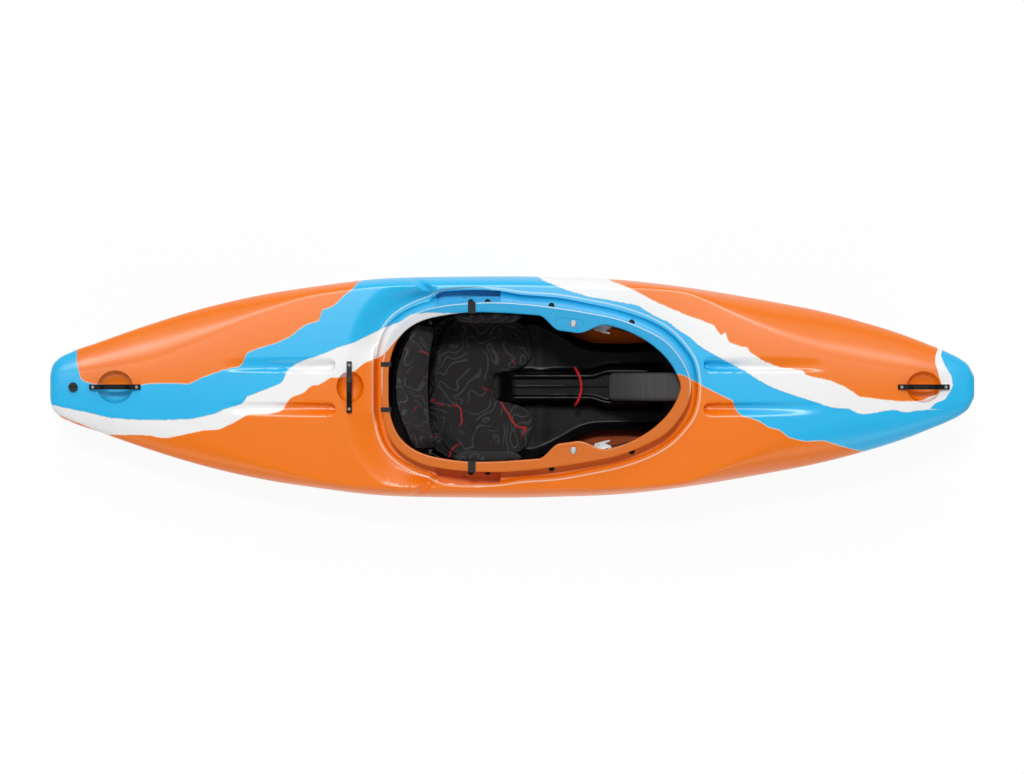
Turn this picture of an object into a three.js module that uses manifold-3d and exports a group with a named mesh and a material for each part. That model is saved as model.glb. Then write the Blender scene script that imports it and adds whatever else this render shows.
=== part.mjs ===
// Whitewater kayak: a one-piece moulded shell with its cockpit rim, and the fittings that it carries.
// Millimetres, +X towards the bow, +Y to port, +Z up. The origin is amidships, on the flat of the hull.
import * as THREE from "three";
import { mergeVertices } from "three/addons/utils/BufferGeometryUtils.js";
import Module from "manifold-3d";

const wasm = await Module();
wasm.setup();

// Fits
const clearance = 0.3;
const overrun = 20;

// Shell
const hullLength = 2690;
const hullBeam = 648;
const deckHeight = 340;
const wall = 5;
const deckCrown = 12;
const chineLift = 4;
const stationStep = 75;
const innerStationStep = 130;

// Cockpit rim, trough and side pockets
const sideDeck = 77;
const rimLength = 900;
const rimCentre = 73;
const rimRearShare = 0.7706;
const rimRiseShare = 0.2647;
const flangeThickness = 7;
const flangeRound = 2.4;
const neckHeight = 40;
const hookReach = 38;
const hookLengthShare = 0.44;
const hookPlaceShare = 0.24;
const hookRecessLength = 84;
const hookRecessWidth = 28;
const hookRecessDepth = 1.5;
const hookRecessShift = 12;
const pocketRearShare = -0.6467;
const pocketLengthShare = 0.42;
const pocketDepth = 8;
const troughDraft = 5;

// Deck grooves
const grooveOffset = 58;
const grooveHalfWidth = 18;
const grooveDepth = 13;
const grooveEnd = 9;
const sternGrooveRear = -835;
const sternGrooveFront = -535;
const bowGrooveRear = 584;
const bowGrooveFront = 910;

// Hand bowls and bars
const bowlDepth = 36;
const barLength = 150;
const barWidth = 15;
const barThickness = 9;
const barRise = 8;
const bossRadius = 11;
const bossHeight = 2.5;
const sternBarPlace = 191;
const bowBarPlace = 148;
const rearBarPlace = 93;
const rearBowlShift = 3;
const barBoltRadius = 3;
const barBoltHeadRadius = 5.5;
const barBoltHeadHeight = 3;
const barBoltGrip = 12;

// Drain plug
const plugPlace = 69;
const plugRadius = 13.5;
const plugHeight = 8;
const plugNeckRadius = 9;
const plugNeckLength = 14;
const plugSlotWidth = 4;
const plugSlotDepth = 3.5;
const plugBossRadius = 16;
const gasketThickness = 2;
const gasketRadius = 12.5;

// Bolts in the trough floor and through the thigh hooks
const hipBoltShares = [-0.42, -0.3111];
const hipBoltOut = 28.5;
const thighBoltAlong = -43.7;
const thighBoltOut = 33.5;
const hookBoltAlong = 25.6;
const hookBoltIn = 10.8;
const guideBoltAhead = 112;
const guideBoltOut = 26.2;
const sideBoltRadius = 3;
const sideBoltHeadRadius = 8.75;
const sideBoltHeadHeight = 3.5;
const sideBoltGrip = 12;
const hookBoltHeadRadius = 10;

// Seat rails
const railPlace = 70;
const railWidth = 22;
const railHeight = 10;
const railGroove = 8;
const railSetback = 35;
const railFront = 130;

// Seat pan and console
const panThickness = 4;
const panPlace = 137;
const panFront = 520;
const ridgeHeight = 92;
const ridgeRear = -38;
const ridgeStep = 45;
const ridgeStepHeight = 52;
const ridgeTop = 38;
const ridgeFoot = 51;
const ridgeSpread = 14;
const ridgeFront = 405;
const ridgeChannel = 10;
const ridgeRib = 3;
const panLip = 20;

// Seat pad
const padThickness = 26;
const padEdge = 12;
const padGap = 0.6;
const padSeamDepth = 5;
const padSeamAhead = 115;
const padInset = 7;
const padSide = 4.8;
const padFront = 68;
const padSeamWidth = 14;

// Hip plates and pads
const hipPlateShares = [-0.5444, -0.0733];
const hipPlateOutShare = 0.8887;
const hipPlateThickness = 4;
const hipPlateLow = 78;
const hipCornerShare = 0.573;
const hipFlangeShares = [-0.4733, -0.26];
const hipFlangeWidth = 42.5;
const hipPadThickness = 23;
const hipPadEdge = 9;

// Backband
const bandWidthShare = 0.745;
const bandLowShare = 0.3882;
const bandHighShare = 0.7353;
const bandShoulderDrop = 34;
const bandFrontPlace = 130;
const bandFrontSweep = 16;
const bandRearPlace = 36;
const bandRearSweep = 66;
const bandShellThickness = 3;
const bandPadThickness = 20;
const bandPadEdge = 8;
const bandPivotAhead = 11;
const bandPivotShare = 0.4412;
const bandPivotRadius = 4;
const bandPivotHead = 9;
const bandPivotHeadThickness = 2;

// Thigh braces
const braceRearShare = 0.0556;
const braceLength = 116;
const braceThickness = 5;
const braceTravel = 12;
const braceReach = 36;
const braceArm = 50;
const braceTip = 6;
const thighPadThickness = 12;
const thighPadInset = 8;

// Ratchets and ladder straps
const ratchetSetoff = 14;
const ratchetTab = 36;
const ratchetLength = 54;
const ratchetDrop = 72;
const ratchetPlate = 2.5;
const ratchetDepth = 24;
const cheekThickness = 2;
const cheekGap = 22;
const ratchetPinRadius = 2.5;
const ratchetPinPlace = [-8, -16];
const leverThickness = 4;
const leverReach = 34;
const strapWidth = 20;
const strapThickness = 3;
const toothHeight = 1.2;
const toothPitch = 6;
const toothStart = 90;
const strapStep = 24;
// Route of the strap behind and ahead of the ratchet: along and across the rim, and up the deck height
const strapRearShares = [
  [-0.7178, 0.7854, 0.4353], [-0.6644, 0.7935, 0.4471], [-0.6067, 0.8543, 0.4647], [-0.54, 0.9069, 0.4824],
  [-0.3844, 0.919, 0.5176], [-0.1622, 0.919, 0.5588], [0.0156, 0.8664, 0.6265], [0.1711, 0.8097, 0.6882],
];
const strapTailShares = [[0.5711, 0.664, 0.7618], [0.66, 0.6275, 0.7559], [0.7311, 0.5951, 0.7471]];

// Webbing bands over the rim
const webbingWidth = 22;
const webbingThickness = 2;
const webbingLeg = 24;
const sideWebbingShare = -0.4133;
const rearWebbingWidth = 13;
const rearWebbingPlace = 66;

// Elastic cord over the console
const cordDiameter = 7.5;
const cordPlace = 190;
const cordBow = 18;

// Foam pillars
const pillarWidth = 83;
const pillarRear = 289;
const pillarLength = 311;
const pillarTopShare = 0.853;
const pillarRound = 9;
const pillarFit = 0.5;
const seatTravel = 30;
const rearPillarWidth = 76;
const rearPillarGap = 63;
const rearPillarShare = 0.7435;

// Footrest
const footPlaceShare = 0.58;
const footThickness = 7;
const footLowShare = 0.2882;
const footHighShare = 0.8471;
const footFoamThickness = 18;
const footTravel = 80;
const footRailOut = 17;
const footRailShare = 0.6912;
const footRailWidth = 20;
const footRailThickness = 4;
const guideLength = 44;
const guideWall = 5;

const halfLength = hullLength / 2;
const halfBeam = hullBeam / 2;
const rimHalfLength = rimLength / 2;
const rimHalfWidth = halfBeam - sideDeck;
const rimRearHeight = rimRearShare * deckHeight;
const rimSlope = (rimRiseShare * deckHeight) / rimLength;
const rimRear = rimCentre - rimHalfLength;
const rimTilt = Math.atan(rimSlope);
const troughFloor = -flangeThickness - neckHeight;

// Place along the boat of a share of half the rim's length
const alongRim = (share) => rimCentre + share * rimHalfLength;
const hookLength = hookLengthShare * rimHalfLength;
const hookPlace = alongRim(hookPlaceShare);
const pocketRear = alongRim(pocketRearShare);
const pocketLength = pocketLengthShare * rimHalfLength;
const panRear = rimRear + panPlace;
const railRear = panRear + railSetback;
const padRear = panRear + padInset;
const padSeamPlace = padRear + padSeamAhead;
const [hipPlateRear, hipPlateFront] = hipPlateShares.map(alongRim);
const [hipFlangeRear, hipFlangeFront] = hipFlangeShares.map(alongRim);
const hipPlateOut = hipPlateOutShare * rimHalfWidth;
const hipBolts = hipBoltShares.map((share) => [alongRim(share), hipPlateOut + hipBoltOut]);
const bandHalfWidth = bandWidthShare * rimHalfWidth;
const bandLow = bandLowShare * deckHeight;
const bandHigh = bandHighShare * deckHeight;
const bandFront = rimRear + bandFrontPlace;
const bandRear = rimRear + bandRearPlace;
const bandPivotX = bandFront + bandPivotAhead;
const bandPivotZ = bandPivotShare * deckHeight;
const braceRear = alongRim(braceRearShare);
const braceFront = braceRear + braceLength;
const ratchetRear = braceFront + braceTravel + ratchetSetoff;
const sideWebbingPlace = alongRim(sideWebbingShare);
const pillarTop = pillarTopShare * deckHeight;
const footPlace = footPlaceShare * halfLength;
const footLow = footLowShare * deckHeight;
const footHigh = footHighShare * deckHeight;
const footRailHeight = footRailShare * deckHeight;

// Stations of the shell, stern to bow: the place as a share of half the length, the half beam as a share
// of half the beam, the keel, sheer and deck as shares of the deck height, and the deck crease as a share
// of the local half beam.
const [BEAM, KEEL, SHEER, DECK, CREASE] = [1, 2, 3, 4, 5];
const stationShares = [
  [-1.0, 0.12, 0.5, 0.56, 0.6, 0.5],
  [-0.996, 0.19, 0.47, 0.56, 0.625, 0.48],
  [-0.985, 0.245, 0.44, 0.56, 0.645, 0.45],
  [-0.955, 0.315, 0.4, 0.556, 0.655, 0.42],
  [-0.9, 0.397, 0.345, 0.55, 0.662, 0.4],
  [-0.804, 0.538, 0.255, 0.54, 0.675, 0.42],
  [-0.675, 0.704, 0.14, 0.52, 0.692, 0.585],
  [-0.545, 0.83, 0.055, 0.5, 0.71, 0.78],
  [-0.415, 0.915, 0.012, 0.485, 0.73, 0.9],
  [-0.285, 0.978, 0, 0.475, 0.755, 0.91],
  [-0.156, 0.996, 0, 0.475, 0.78, 0.905],
  [0, 1, 0, 0.48, 0.805, 0.905],
  [0.104, 0.991, 0, 0.49, 0.83, 0.905],
  [0.233, 0.969, 0.004, 0.51, 0.865, 0.915],
  [0.363, 0.91, 0.035, 0.55, 0.92, 0.94],
  [0.493, 0.825, 0.105, 0.6, 0.965, 0.75],
  [0.573, 0.765, 0.17, 0.635, 0.98, 0.594],
  [0.664, 0.69, 0.26, 0.68, 0.985, 0.443],
  [0.752, 0.596, 0.365, 0.73, 0.985, 0.37],
  [0.85, 0.468, 0.51, 0.79, 0.985, 0.33],
  [0.904, 0.381, 0.6, 0.825, 0.983, 0.33],
  [0.947, 0.305, 0.677, 0.85, 0.978, 0.35],
  [0.973, 0.247, 0.725, 0.865, 0.968, 0.38],
  [0.99, 0.184, 0.765, 0.875, 0.955, 0.42],
  [1.0, 0.1, 0.82, 0.88, 0.93, 0.5],
];
const chineShare = 0.74;
const flatShare = 0.6;
const flareShare = 0.45;
const deckPointShares = [0.75, 0.5, 0.25];
const outerSteps = { side: 4, shoulder: 5 };
const innerSteps = { side: 2, shoulder: 3 };

// Outlines round the cockpit, port side from rear to front, as shares of half the rim's length and width
const flangeShares = [
  [-1, 0], [-1, 0.2], [-0.985, 0.37], [-0.952, 0.571], [-0.887, 0.741], [-0.758, 0.888], [-0.6, 0.96],
  [-0.42, 0.992], [-0.241, 1], [-0.047, 0.976], [0.147, 0.933], [0.341, 0.876], [0.535, 0.802],
  [0.729, 0.659], [0.839, 0.541], [0.922, 0.376], [0.98, 0.19], [1, 0],
];
const mouthShares = [
  [-0.952, 0], [-0.95, 0.2], [-0.93, 0.4], [-0.887, 0.571], [-0.822, 0.694], [-0.725, 0.788], [-0.564, 0.854],
  [-0.4, 0.881], [-0.241, 0.875], [-0.047, 0.852], [0.147, 0.818], [0.341, 0.766], [0.535, 0.694],
  [0.664, 0.594], [0.76, 0.48], [0.85, 0.32], [0.905, 0.16], [0.932, 0],
];
const troughShares = [
  [-1.09, 0], [-1.088, 0.42], [-1.06, 0.75], [-1.0, 0.96], [-0.887, 1.08], [-0.758, 1.13], [-0.6, 1.155],
  [-0.42, 1.165], [-0.241, 1.155], [-0.09, 1.115], [0.147, 1.082], [0.341, 1.02], [0.535, 0.945],
  [0.729, 0.823], [0.858, 0.69], [0.95, 0.53], [1.03, 0.31], [1.058, 0],
];
const outlineSteps = 72;

// Bowl profile from its middle outwards: share of the radius and of the depth
const bowlShares = [[0, -1], [0.4, -0.98], [0.7, -0.85], [0.88, -0.55], [0.96, -0.2], [1, 0]];
const bowlSteps = 16;
const bowlBackingSteps = 12;
const recessSteps = 5;
// The bowls' half sizes along and across the boat
const sternBowl = [52.5, 48.5];
const bowBowl = [50, 46];
const rearBowl = [41, 46.5];

const shellColour = new THREE.MeshStandardMaterial({ color: 0xf0822a, roughness: 0.35, metalness: 0 });
const barMaterial = new THREE.MeshStandardMaterial({ color: 0x1c1d1f, roughness: 0.5, metalness: 0 });
const steelMaterial = new THREE.MeshStandardMaterial({ color: 0xb9babc, roughness: 0.3, metalness: 1 });
const plugMaterial = new THREE.MeshStandardMaterial({ color: 0x33302f, roughness: 0.5, metalness: 0 });
const rubberMaterial = new THREE.MeshStandardMaterial({ color: 0x151515, roughness: 0.8, metalness: 0 });
const panMaterial = new THREE.MeshStandardMaterial({ color: 0x1b1b1c, roughness: 0.5, metalness: 0 });
const fabricMaterial = new THREE.MeshStandardMaterial({ color: 0x202023, roughness: 0.9, metalness: 0 });
const foamMaterial = new THREE.MeshStandardMaterial({ color: 0x3e3e40, roughness: 0.95, metalness: 0 });
const webbingMaterial = new THREE.MeshStandardMaterial({ color: 0x141415, roughness: 0.85, metalness: 0 });
const cordMaterial = new THREE.MeshStandardMaterial({ color: 0x9c2a2c, roughness: 0.8, metalness: 0 });
const railMaterial = new THREE.MeshStandardMaterial({ color: 0x9a9c9f, roughness: 0.45, metalness: 1 });

// Value of one column at a place between the rows, on a smooth curve that passes no row
function readShares(rows, column, place) {
  const last = rows.length - 1;
  let row = 0;
  while (row < last - 1 && place > rows[row + 1][0]) row += 1;
  const rise = (i) => (rows[i + 1][column] - rows[i][column]) / (rows[i + 1][0] - rows[i][0]);
  const slopeAt = (i) => {
    if (i === 0) return rise(0);
    if (i === last) return rise(last - 1);
    const [before, after] = [rise(i - 1), rise(i)];
    const [behind, ahead] = [rows[i][0] - rows[i - 1][0], rows[i + 1][0] - rows[i][0]];
    const mean = (before * ahead + after * behind) / (behind + ahead);
    return (Math.sign(before) + Math.sign(after)) * Math.min(Math.abs(before), Math.abs(after), Math.abs(mean) / 2);
  };
  const span = rows[row + 1][0] - rows[row][0];
  const t = THREE.MathUtils.clamp((place - rows[row][0]) / span, 0, 1);
  const [from, to] = [rows[row][column], rows[row + 1][column]];
  const [leave, arrive] = [slopeAt(row) * span, slopeAt(row + 1) * span];
  const bend = 2 * (from - to) + leave + arrive;
  return from + t * (leave + t * (3 * (to - from) - 2 * leave - arrive + t * bend));
}

// Closed body from plain lists of corners and triangles, turned so that its faces point out
function body(corners, triangles) {
  const geometry = new THREE.BufferGeometry();
  geometry.setAttribute("position", new THREE.Float32BufferAttribute(corners.flat(), 3));
  let volume = 0;
  const [a, b, c] = [new THREE.Vector3(), new THREE.Vector3(), new THREE.Vector3()];
  for (const [i, j, k] of triangles) {
    a.fromArray(corners[i]);
    b.fromArray(corners[j]);
    c.fromArray(corners[k]);
    volume += a.dot(b.cross(c));
  }
  const turned = volume < 0 ? triangles.map(([i, j, k]) => [i, k, j]) : triangles;
  geometry.setIndex(turned.flat());
  geometry.computeVertexNormals();
  return geometry;
}

// Body through rings of equal length, closed by a fan at each end
function loft(rings) {
  const count = rings[0].length;
  const corners = rings.flat();
  const triangles = [];
  for (let ring = 0; ring + 1 < rings.length; ring += 1) {
    for (let i = 0; i < count; i += 1) {
      const next = (i + 1) % count;
      const [a, b] = [ring * count + i, ring * count + next];
      triangles.push([a, b, b + count], [a, b + count, a + count]);
    }
  }
  for (const ring of [0, rings.length - 1]) {
    const middle = [0, 1, 2].map((axis) => rings[ring].reduce((sum, point) => sum + point[axis], 0) / count);
    const hub = corners.push(middle) - 1;
    for (let i = 0; i < count; i += 1) {
      const [a, b] = [ring * count + i, ring * count + ((i + 1) % count)];
      triangles.push(ring === 0 ? [b, a, hub] : [a, b, hub]);
    }
  }
  return body(corners, triangles);
}

// Solid for joins and cuts
function solid(geometry) {
  const bare = geometry.clone();
  for (const name of Object.keys(bare.attributes)) {
    if (name !== "position") bare.deleteAttribute(name);
  }
  const merged = mergeVertices(bare);
  const kept = [];
  for (let i = 0; i < merged.index.count; i += 3) {
    const [a, b, c] = [merged.index.getX(i), merged.index.getX(i + 1), merged.index.getX(i + 2)];
    if (a !== b && b !== c && c !== a) kept.push(a, b, c);
  }
  const mesh = { numProp: 3, vertProperties: merged.attributes.position.array, triVerts: new Uint32Array(kept) };
  return new wasm.Manifold(new wasm.Mesh(mesh));
}

function geometryOf(part) {
  const mesh = part.getMesh();
  const geometry = new THREE.BufferGeometry();
  geometry.setAttribute("position", new THREE.BufferAttribute(new Float32Array(mesh.vertProperties), 3));
  geometry.setIndex(new THREE.BufferAttribute(new Uint32Array(mesh.triVerts), 1));
  geometry.computeVertexNormals();
  return geometry;
}

// Upright prism of an outline, with an optional hole, between two heights
function prism(outline, low, high, hole = null) {
  const shape = new THREE.Shape(outline);
  if (hole) shape.holes.push(new THREE.Path(hole));
  return new THREE.ExtrudeGeometry(shape, { depth: high - low, bevelEnabled: false }).translate(0, 0, low);
}

// Height of the rim's plane, which climbs towards the bow
function rimHeight(x) {
  return rimRearHeight + (x - rimRear) * rimSlope;
}

// Lifts a geometry whose heights are counted from the rim's plane
function liftToRim(geometry) {
  const position = geometry.attributes.position;
  for (let i = 0; i < position.count; i += 1) {
    position.setZ(i, position.getZ(i) + rimHeight(position.getX(i)));
  }
  geometry.computeVertexNormals();
  return geometry;
}

function revolved(profile, steps) {
  const points = profile.map(([radius, height]) => new THREE.Vector2(radius, height));
  return new THREE.LatheGeometry(points, steps).rotateX(Math.PI / 2);
}

function disc(radius, low, high, steps) {
  return revolved([[0, low], [radius, low], [radius, high], [0, high]], steps);
}

// Smooth closed outline, counter-clockwise from the rear, from the port side's shares
function rimOutline(rows) {
  const port = rows.map(([along, across]) => [rimCentre + along * rimHalfLength, across * rimHalfWidth]);
  const starboard = port.slice(1, -1).map(([x, y]) => [x, -y]);
  const points = [port[0], ...starboard, ...port.slice(1).reverse()].map(([x, y]) => new THREE.Vector3(x, y, 0));
  const curve = new THREE.CatmullRomCurve3(points, true, "centripetal");
  return curve.getSpacedPoints(outlineSteps).slice(0, -1).map((point) => new THREE.Vector2(point.x, point.y));
}

// Outline moved outwards by a distance, along the mean of the two edges at each point
function grown(outline, distance) {
  const count = outline.length;
  return outline.map((point, i) => {
    const before = outline[(i + count - 1) % count];
    const after = outline[(i + 1) % count];
    const along = new THREE.Vector2().subVectors(after, before).normalize();
    const side = THREE.ShapeUtils.isClockWise(outline) ? -1 : 1;
    return new THREE.Vector2(point.x + side * along.y * distance, point.y - side * along.x * distance);
  });
}

const flangeOutline = rimOutline(flangeShares);
const neckInside = rimOutline(mouthShares);
const neckOutside = grown(neckInside, wall);
const troughOutline = rimOutline(troughShares);

// How far out an outline's port side lies at a place along the boat
function outlineAt(outline, x) {
  const crossings = outline.map((point, i) => [point, outline[(i + 1) % outline.length]]);
  const [from, to] = crossings.find(([a, b]) => (a.x - x) * (b.x - x) <= 0 && a.x !== b.x && a.y + b.y > 0);
  return from.y + ((to.y - from.y) * (x - from.x)) / (to.x - from.x);
}

// Chord of the neck's inside between two places, on the port side
function neckChord(rear, front) {
  const [from, to] = [outlineAt(neckInside, rear), outlineAt(neckInside, front)];
  return { x: (rear + front) / 2, y: (from + to) / 2, turn: Math.atan2(to - from, front - rear) };
}

const seatOff = 1.2;
const braceChord = neckChord(braceRear - braceTravel, braceFront + braceTravel + neckHeight * rimSlope);
const ratchetFront = ratchetRear + ratchetTab;
const ratchetChord = neckChord(ratchetRear, ratchetFront + ratchetDrop * rimSlope);

// Place of a point of the boat in a chord's own directions
function inChord(chord, [x, y]) {
  const [dx, dy] = [x - chord.x, y - chord.y];
  const [cos, sin] = [Math.cos(chord.turn), Math.sin(chord.turn)];
  return [dx * cos + dy * sin, dy * cos - dx * sin];
}

// Place on the boat of a point given in a chord's own directions
function onChord(chord, along, out) {
  const [cos, sin] = [Math.cos(chord.turn), Math.sin(chord.turn)];
  return [chord.x + along * cos - out * sin, chord.y + along * sin + out * cos];
}

const thighBolt = onChord(braceChord, thighBoltAlong, thighBoltOut);
const hookBolt = onChord(braceChord, hookBoltAlong, -hookBoltIn);
const guideBoltX = ratchetRear + guideBoltAhead;
const guideBolt = [guideBoltX, outlineAt(neckOutside, guideBoltX) + guideBoltOut];
const footRailPlace = guideBolt[1] + footRailOut;

// The mouth is the neck's inside with a thigh hook drawn in at each side
function mouthOutline() {
  const { smoothstep } = THREE.MathUtils;
  const hookRear = hookPlace - hookLength / 2;
  const hookFront = hookRear + hookLength;
  const [rearRampShare, frontRampShare] = [0.3, 0.45];
  return neckInside.map((point) => {
    const rearRamp = smoothstep(point.x, hookRear, hookRear + rearRampShare * hookLength);
    const frontRamp = 1 - smoothstep(point.x, hookFront - frontRampShare * hookLength, hookFront);
    return new THREE.Vector2(point.x, point.y - Math.sign(point.y) * hookReach * rearRamp * frontRamp);
  });
}

function groove(x, rear, front, deepAtFront) {
  const deep = deepAtFront ? front : rear;
  const shallow = deepAtFront ? rear : front;
  const past = deepAtFront ? x - front : rear - x;
  if (past >= grooveEnd) return 0;
  if (past > 0) return 1 - past / grooveEnd;
  return THREE.MathUtils.clamp((x - shallow) / (deep - shallow), 0, 1);
}

function grooveDepthAt(x) {
  const stern = groove(x, sternGrooveRear, sternGrooveFront, true);
  const bow = groove(x, bowGrooveRear, bowGrooveFront, false);
  return grooveDepth * Math.max(stern, bow);
}

// Deck height at the centreline
function deckAt(x) {
  return readShares(stationShares, DECK, x / halfLength) * deckHeight;
}

// One closed section of the shell, moved inwards by the inset
function shellSection(x, inset, steps) {
  const place = x / halfLength;
  const localBeam = readShares(stationShares, BEAM, place) * halfBeam;
  const side = localBeam - inset;
  const keel = readShares(stationShares, KEEL, place) * deckHeight + inset;
  const sheer = readShares(stationShares, SHEER, place) * deckHeight;
  const deck = deckAt(x) - inset;
  const crease = readShares(stationShares, CREASE, place) * localBeam - inset;
  const creaseHeight = deck - deckCrown * (crease / halfBeam);
  const chine = chineShare * localBeam - inset;
  const chineHeight = keel + chineLift;
  const flareHeight = keel + flareShare * (sheer - keel);
  const half = [[0, keel], [flatShare * chine, keel], [chine, chineHeight]];
  for (let i = 1; i <= steps.side; i += 1) {
    const t = i / steps.side;
    const [start, middle, end] = [(1 - t) ** 2, 2 * t * (1 - t), t ** 2];
    half.push([start * chine + (middle + end) * side, start * chineHeight + middle * flareHeight + end * sheer]);
  }
  for (let i = 1; i <= steps.shoulder; i += 1) {
    const turn = (i / steps.shoulder) * Math.PI / 2;
    half.push([crease + (side - crease) * Math.cos(turn), sheer + (creaseHeight - sheer) * Math.sin(turn)]);
  }
  const grooveEdges = [grooveOffset + grooveHalfWidth, grooveOffset, grooveOffset - grooveHalfWidth];
  deckPointShares.forEach((share, i) => {
    const y = Math.min(grooveEdges[i], share * crease);
    const crown = (deck - creaseHeight) * (1 - (y / crease) ** 2);
    half.push([y, creaseHeight + crown - (i === 1 ? grooveDepthAt(x) : 0)]);
  });
  half.push([0, deck]);
  const starboard = half.slice(1, -1).reverse().map(([y, z]) => [-y, z]);
  return [...half, ...starboard].map(([y, z]) => [x, y, z]);
}

// Places of the stations: every row of the table, steps between them and the ends of the grooves
function stationPlaces(step, inset) {
  const limit = halfLength - inset;
  const places = [-limit, limit];
  const rows = stationShares.map((row) => row[0] * halfLength).filter((x) => Math.abs(x) < limit - wall);
  const ends = [sternGrooveRear, sternGrooveFront, sternGrooveFront + grooveEnd];
  ends.push(bowGrooveFront, bowGrooveRear, bowGrooveRear - grooveEnd);
  places.push(...ends);
  for (const x of rows) {
    if (places.every((other) => Math.abs(other - x) > wall)) places.push(x);
  }
  places.sort((a, b) => a - b);
  const filled = [places[0]];
  for (const x of places.slice(1)) {
    const from = filled[filled.length - 1];
    const count = Math.ceil((x - from) / step);
    for (let i = 1; i <= count; i += 1) filled.push(from + (x - from) * (i / count));
  }
  return filled;
}

function shellLoft(step, inset, endInset, steps) {
  return solid(loft(stationPlaces(step, endInset).map((x) => shellSection(x, inset, steps))));
}

// Prism whose lower outline is drawn in, as a mould needs
function drafted(outline, low, high, draft) {
  const rings = [[low, -draft], [high, 0]].map(([z, out]) => grown(outline, out).map((p) => [p.x, p.y, z]));
  return loft(rings);
}

// Length of the boat that the side pockets take, above a height
function pocketSlab(floor) {
  const slab = new THREE.BoxGeometry(pocketLength, 2 * hullBeam, deckHeight);
  return solid(slab.translate(pocketRear + pocketLength / 2, 0, floor + deckHeight / 2));
}

const pocketFloor = rimHeight(pocketRear) + troughFloor - pocketDepth;

// Hand bowl: the space, or with the wall added its backing
function bowl([halfAlong, halfAcross], x, extra, steps) {
  const profile = bowlShares.map(([out, down]) => [out * (1 + extra / halfAlong), down * (bowlDepth + extra)]);
  profile.push([profile[profile.length - 1][0], overrun], [0, overrun]);
  const shape = revolved(profile, steps);
  shape.scale(halfAlong, halfAcross, 1);
  return solid(shape.translate(x, 0, deckAt(x)));
}

const sternBarX = sternBarPlace - halfLength;
const bowBarX = halfLength - bowBarPlace;
const rearBarX = rimRear - rearBarPlace;
const bowls = [[sternBowl, sternBarX], [bowBowl, bowBarX], [rearBowl, rearBarX + rearBowlShift]];

// Places of the bar's two ends, and the height of the flat that it stands on
const barFoot = barLength / 2 - bossRadius;
function alongBar(x) {
  const top = Math.max(deckAt(x - barFoot), deckAt(x + barFoot)) + bossHeight;
  return { x, top, turn: 0, feet: [[x - barFoot, 0], [x + barFoot, 0]] };
}
function acrossBar(x) {
  return { x, top: deckAt(x) + bossHeight, turn: Math.PI / 2, feet: [[x, -barFoot], [x, barFoot]] };
}
const bars = { stern: alongBar(sternBarX), bow: alongBar(bowBarX), rear: acrossBar(rearBarX) };
const plugX = plugPlace - halfLength;
const plugTop = deckAt(plugX) + bossHeight;
const boltSteps = 8;
const plugSteps = 18;

// Sunken spaces of the deck: the trough round the rim, with the side pockets in its floor
function troughSpace(outline, extra) {
  const low = troughFloor - extra;
  const trough = solid(liftToRim(drafted(outline, low, deckHeight, troughDraft)));
  const deep = solid(liftToRim(drafted(outline, low - neckHeight, deckHeight, troughDraft)));
  return { trough, pockets: deep.intersect(pocketSlab(pocketFloor - extra)) };
}

function rimFlange() {
  const lip = new THREE.Shape(flangeOutline);
  lip.holes.push(new THREE.Path(mouthOutline()));
  const geometry = new THREE.ExtrudeGeometry(lip, {
    depth: flangeThickness - 2 * flangeRound,
    bevelThickness: flangeRound,
    bevelSize: flangeRound,
    bevelOffset: -flangeRound,
    bevelSegments: 1,
  });
  return solid(liftToRim(geometry.translate(0, 0, flangeRound - flangeThickness)));
}

// Hollow of the shell, without the mouth
function shellRoom() {
  const backing = troughSpace(grown(troughOutline, wall), wall);
  const hollow = shellLoft(innerStationStep, wall, 2 * wall, innerSteps);
  const bowlBackings = bowls.map(([sizes, x]) => bowl(sizes, x, wall, bowlBackingSteps));
  return [backing.trough, backing.pockets, ...bowlBackings].reduce((left, part) => left.subtract(part), hollow);
}

// Places of the bolts on one side: x, y, the height of the surface, and whether it follows the rim's slope
function sideBoltPlaces() {
  const hips = hipBolts.map(([x, y]) => ({ x, y, z: pocketFloor, tilt: 0 }));
  const climbing = [thighBolt, guideBolt].map(([x, y]) => ({ x, y, z: rimHeight(x) + troughFloor, tilt: rimTilt }));
  const hookTop = rimHeight(hookBolt[0]) - hookRecessDepth;
  const hook = { x: hookBolt[0], y: hookBolt[1], z: hookTop, tilt: rimTilt };
  return [...hips, ...climbing, hook];
}

// Capsule round a hook's bolt, sunk into the hook's upper face
function hookRecess() {
  const [half, radius] = [hookRecessLength / 2, hookRecessWidth / 2];
  const outline = [];
  for (let i = 0; i <= 2 * recessSteps + 1; i += 1) {
    const front = i <= recessSteps;
    const turn = ((i - (front ? 0 : 1)) / recessSteps - 1 / 2) * Math.PI;
    const along = hookBoltAlong - hookRecessShift + (front ? half - radius : radius - half) + radius * Math.cos(turn);
    outline.push(new THREE.Vector2(...onChord(braceChord, along, radius * Math.sin(turn) - hookBoltIn)));
  }
  return solid(liftToRim(prism(outline, -hookRecessDepth, deckHeight)));
}

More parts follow.
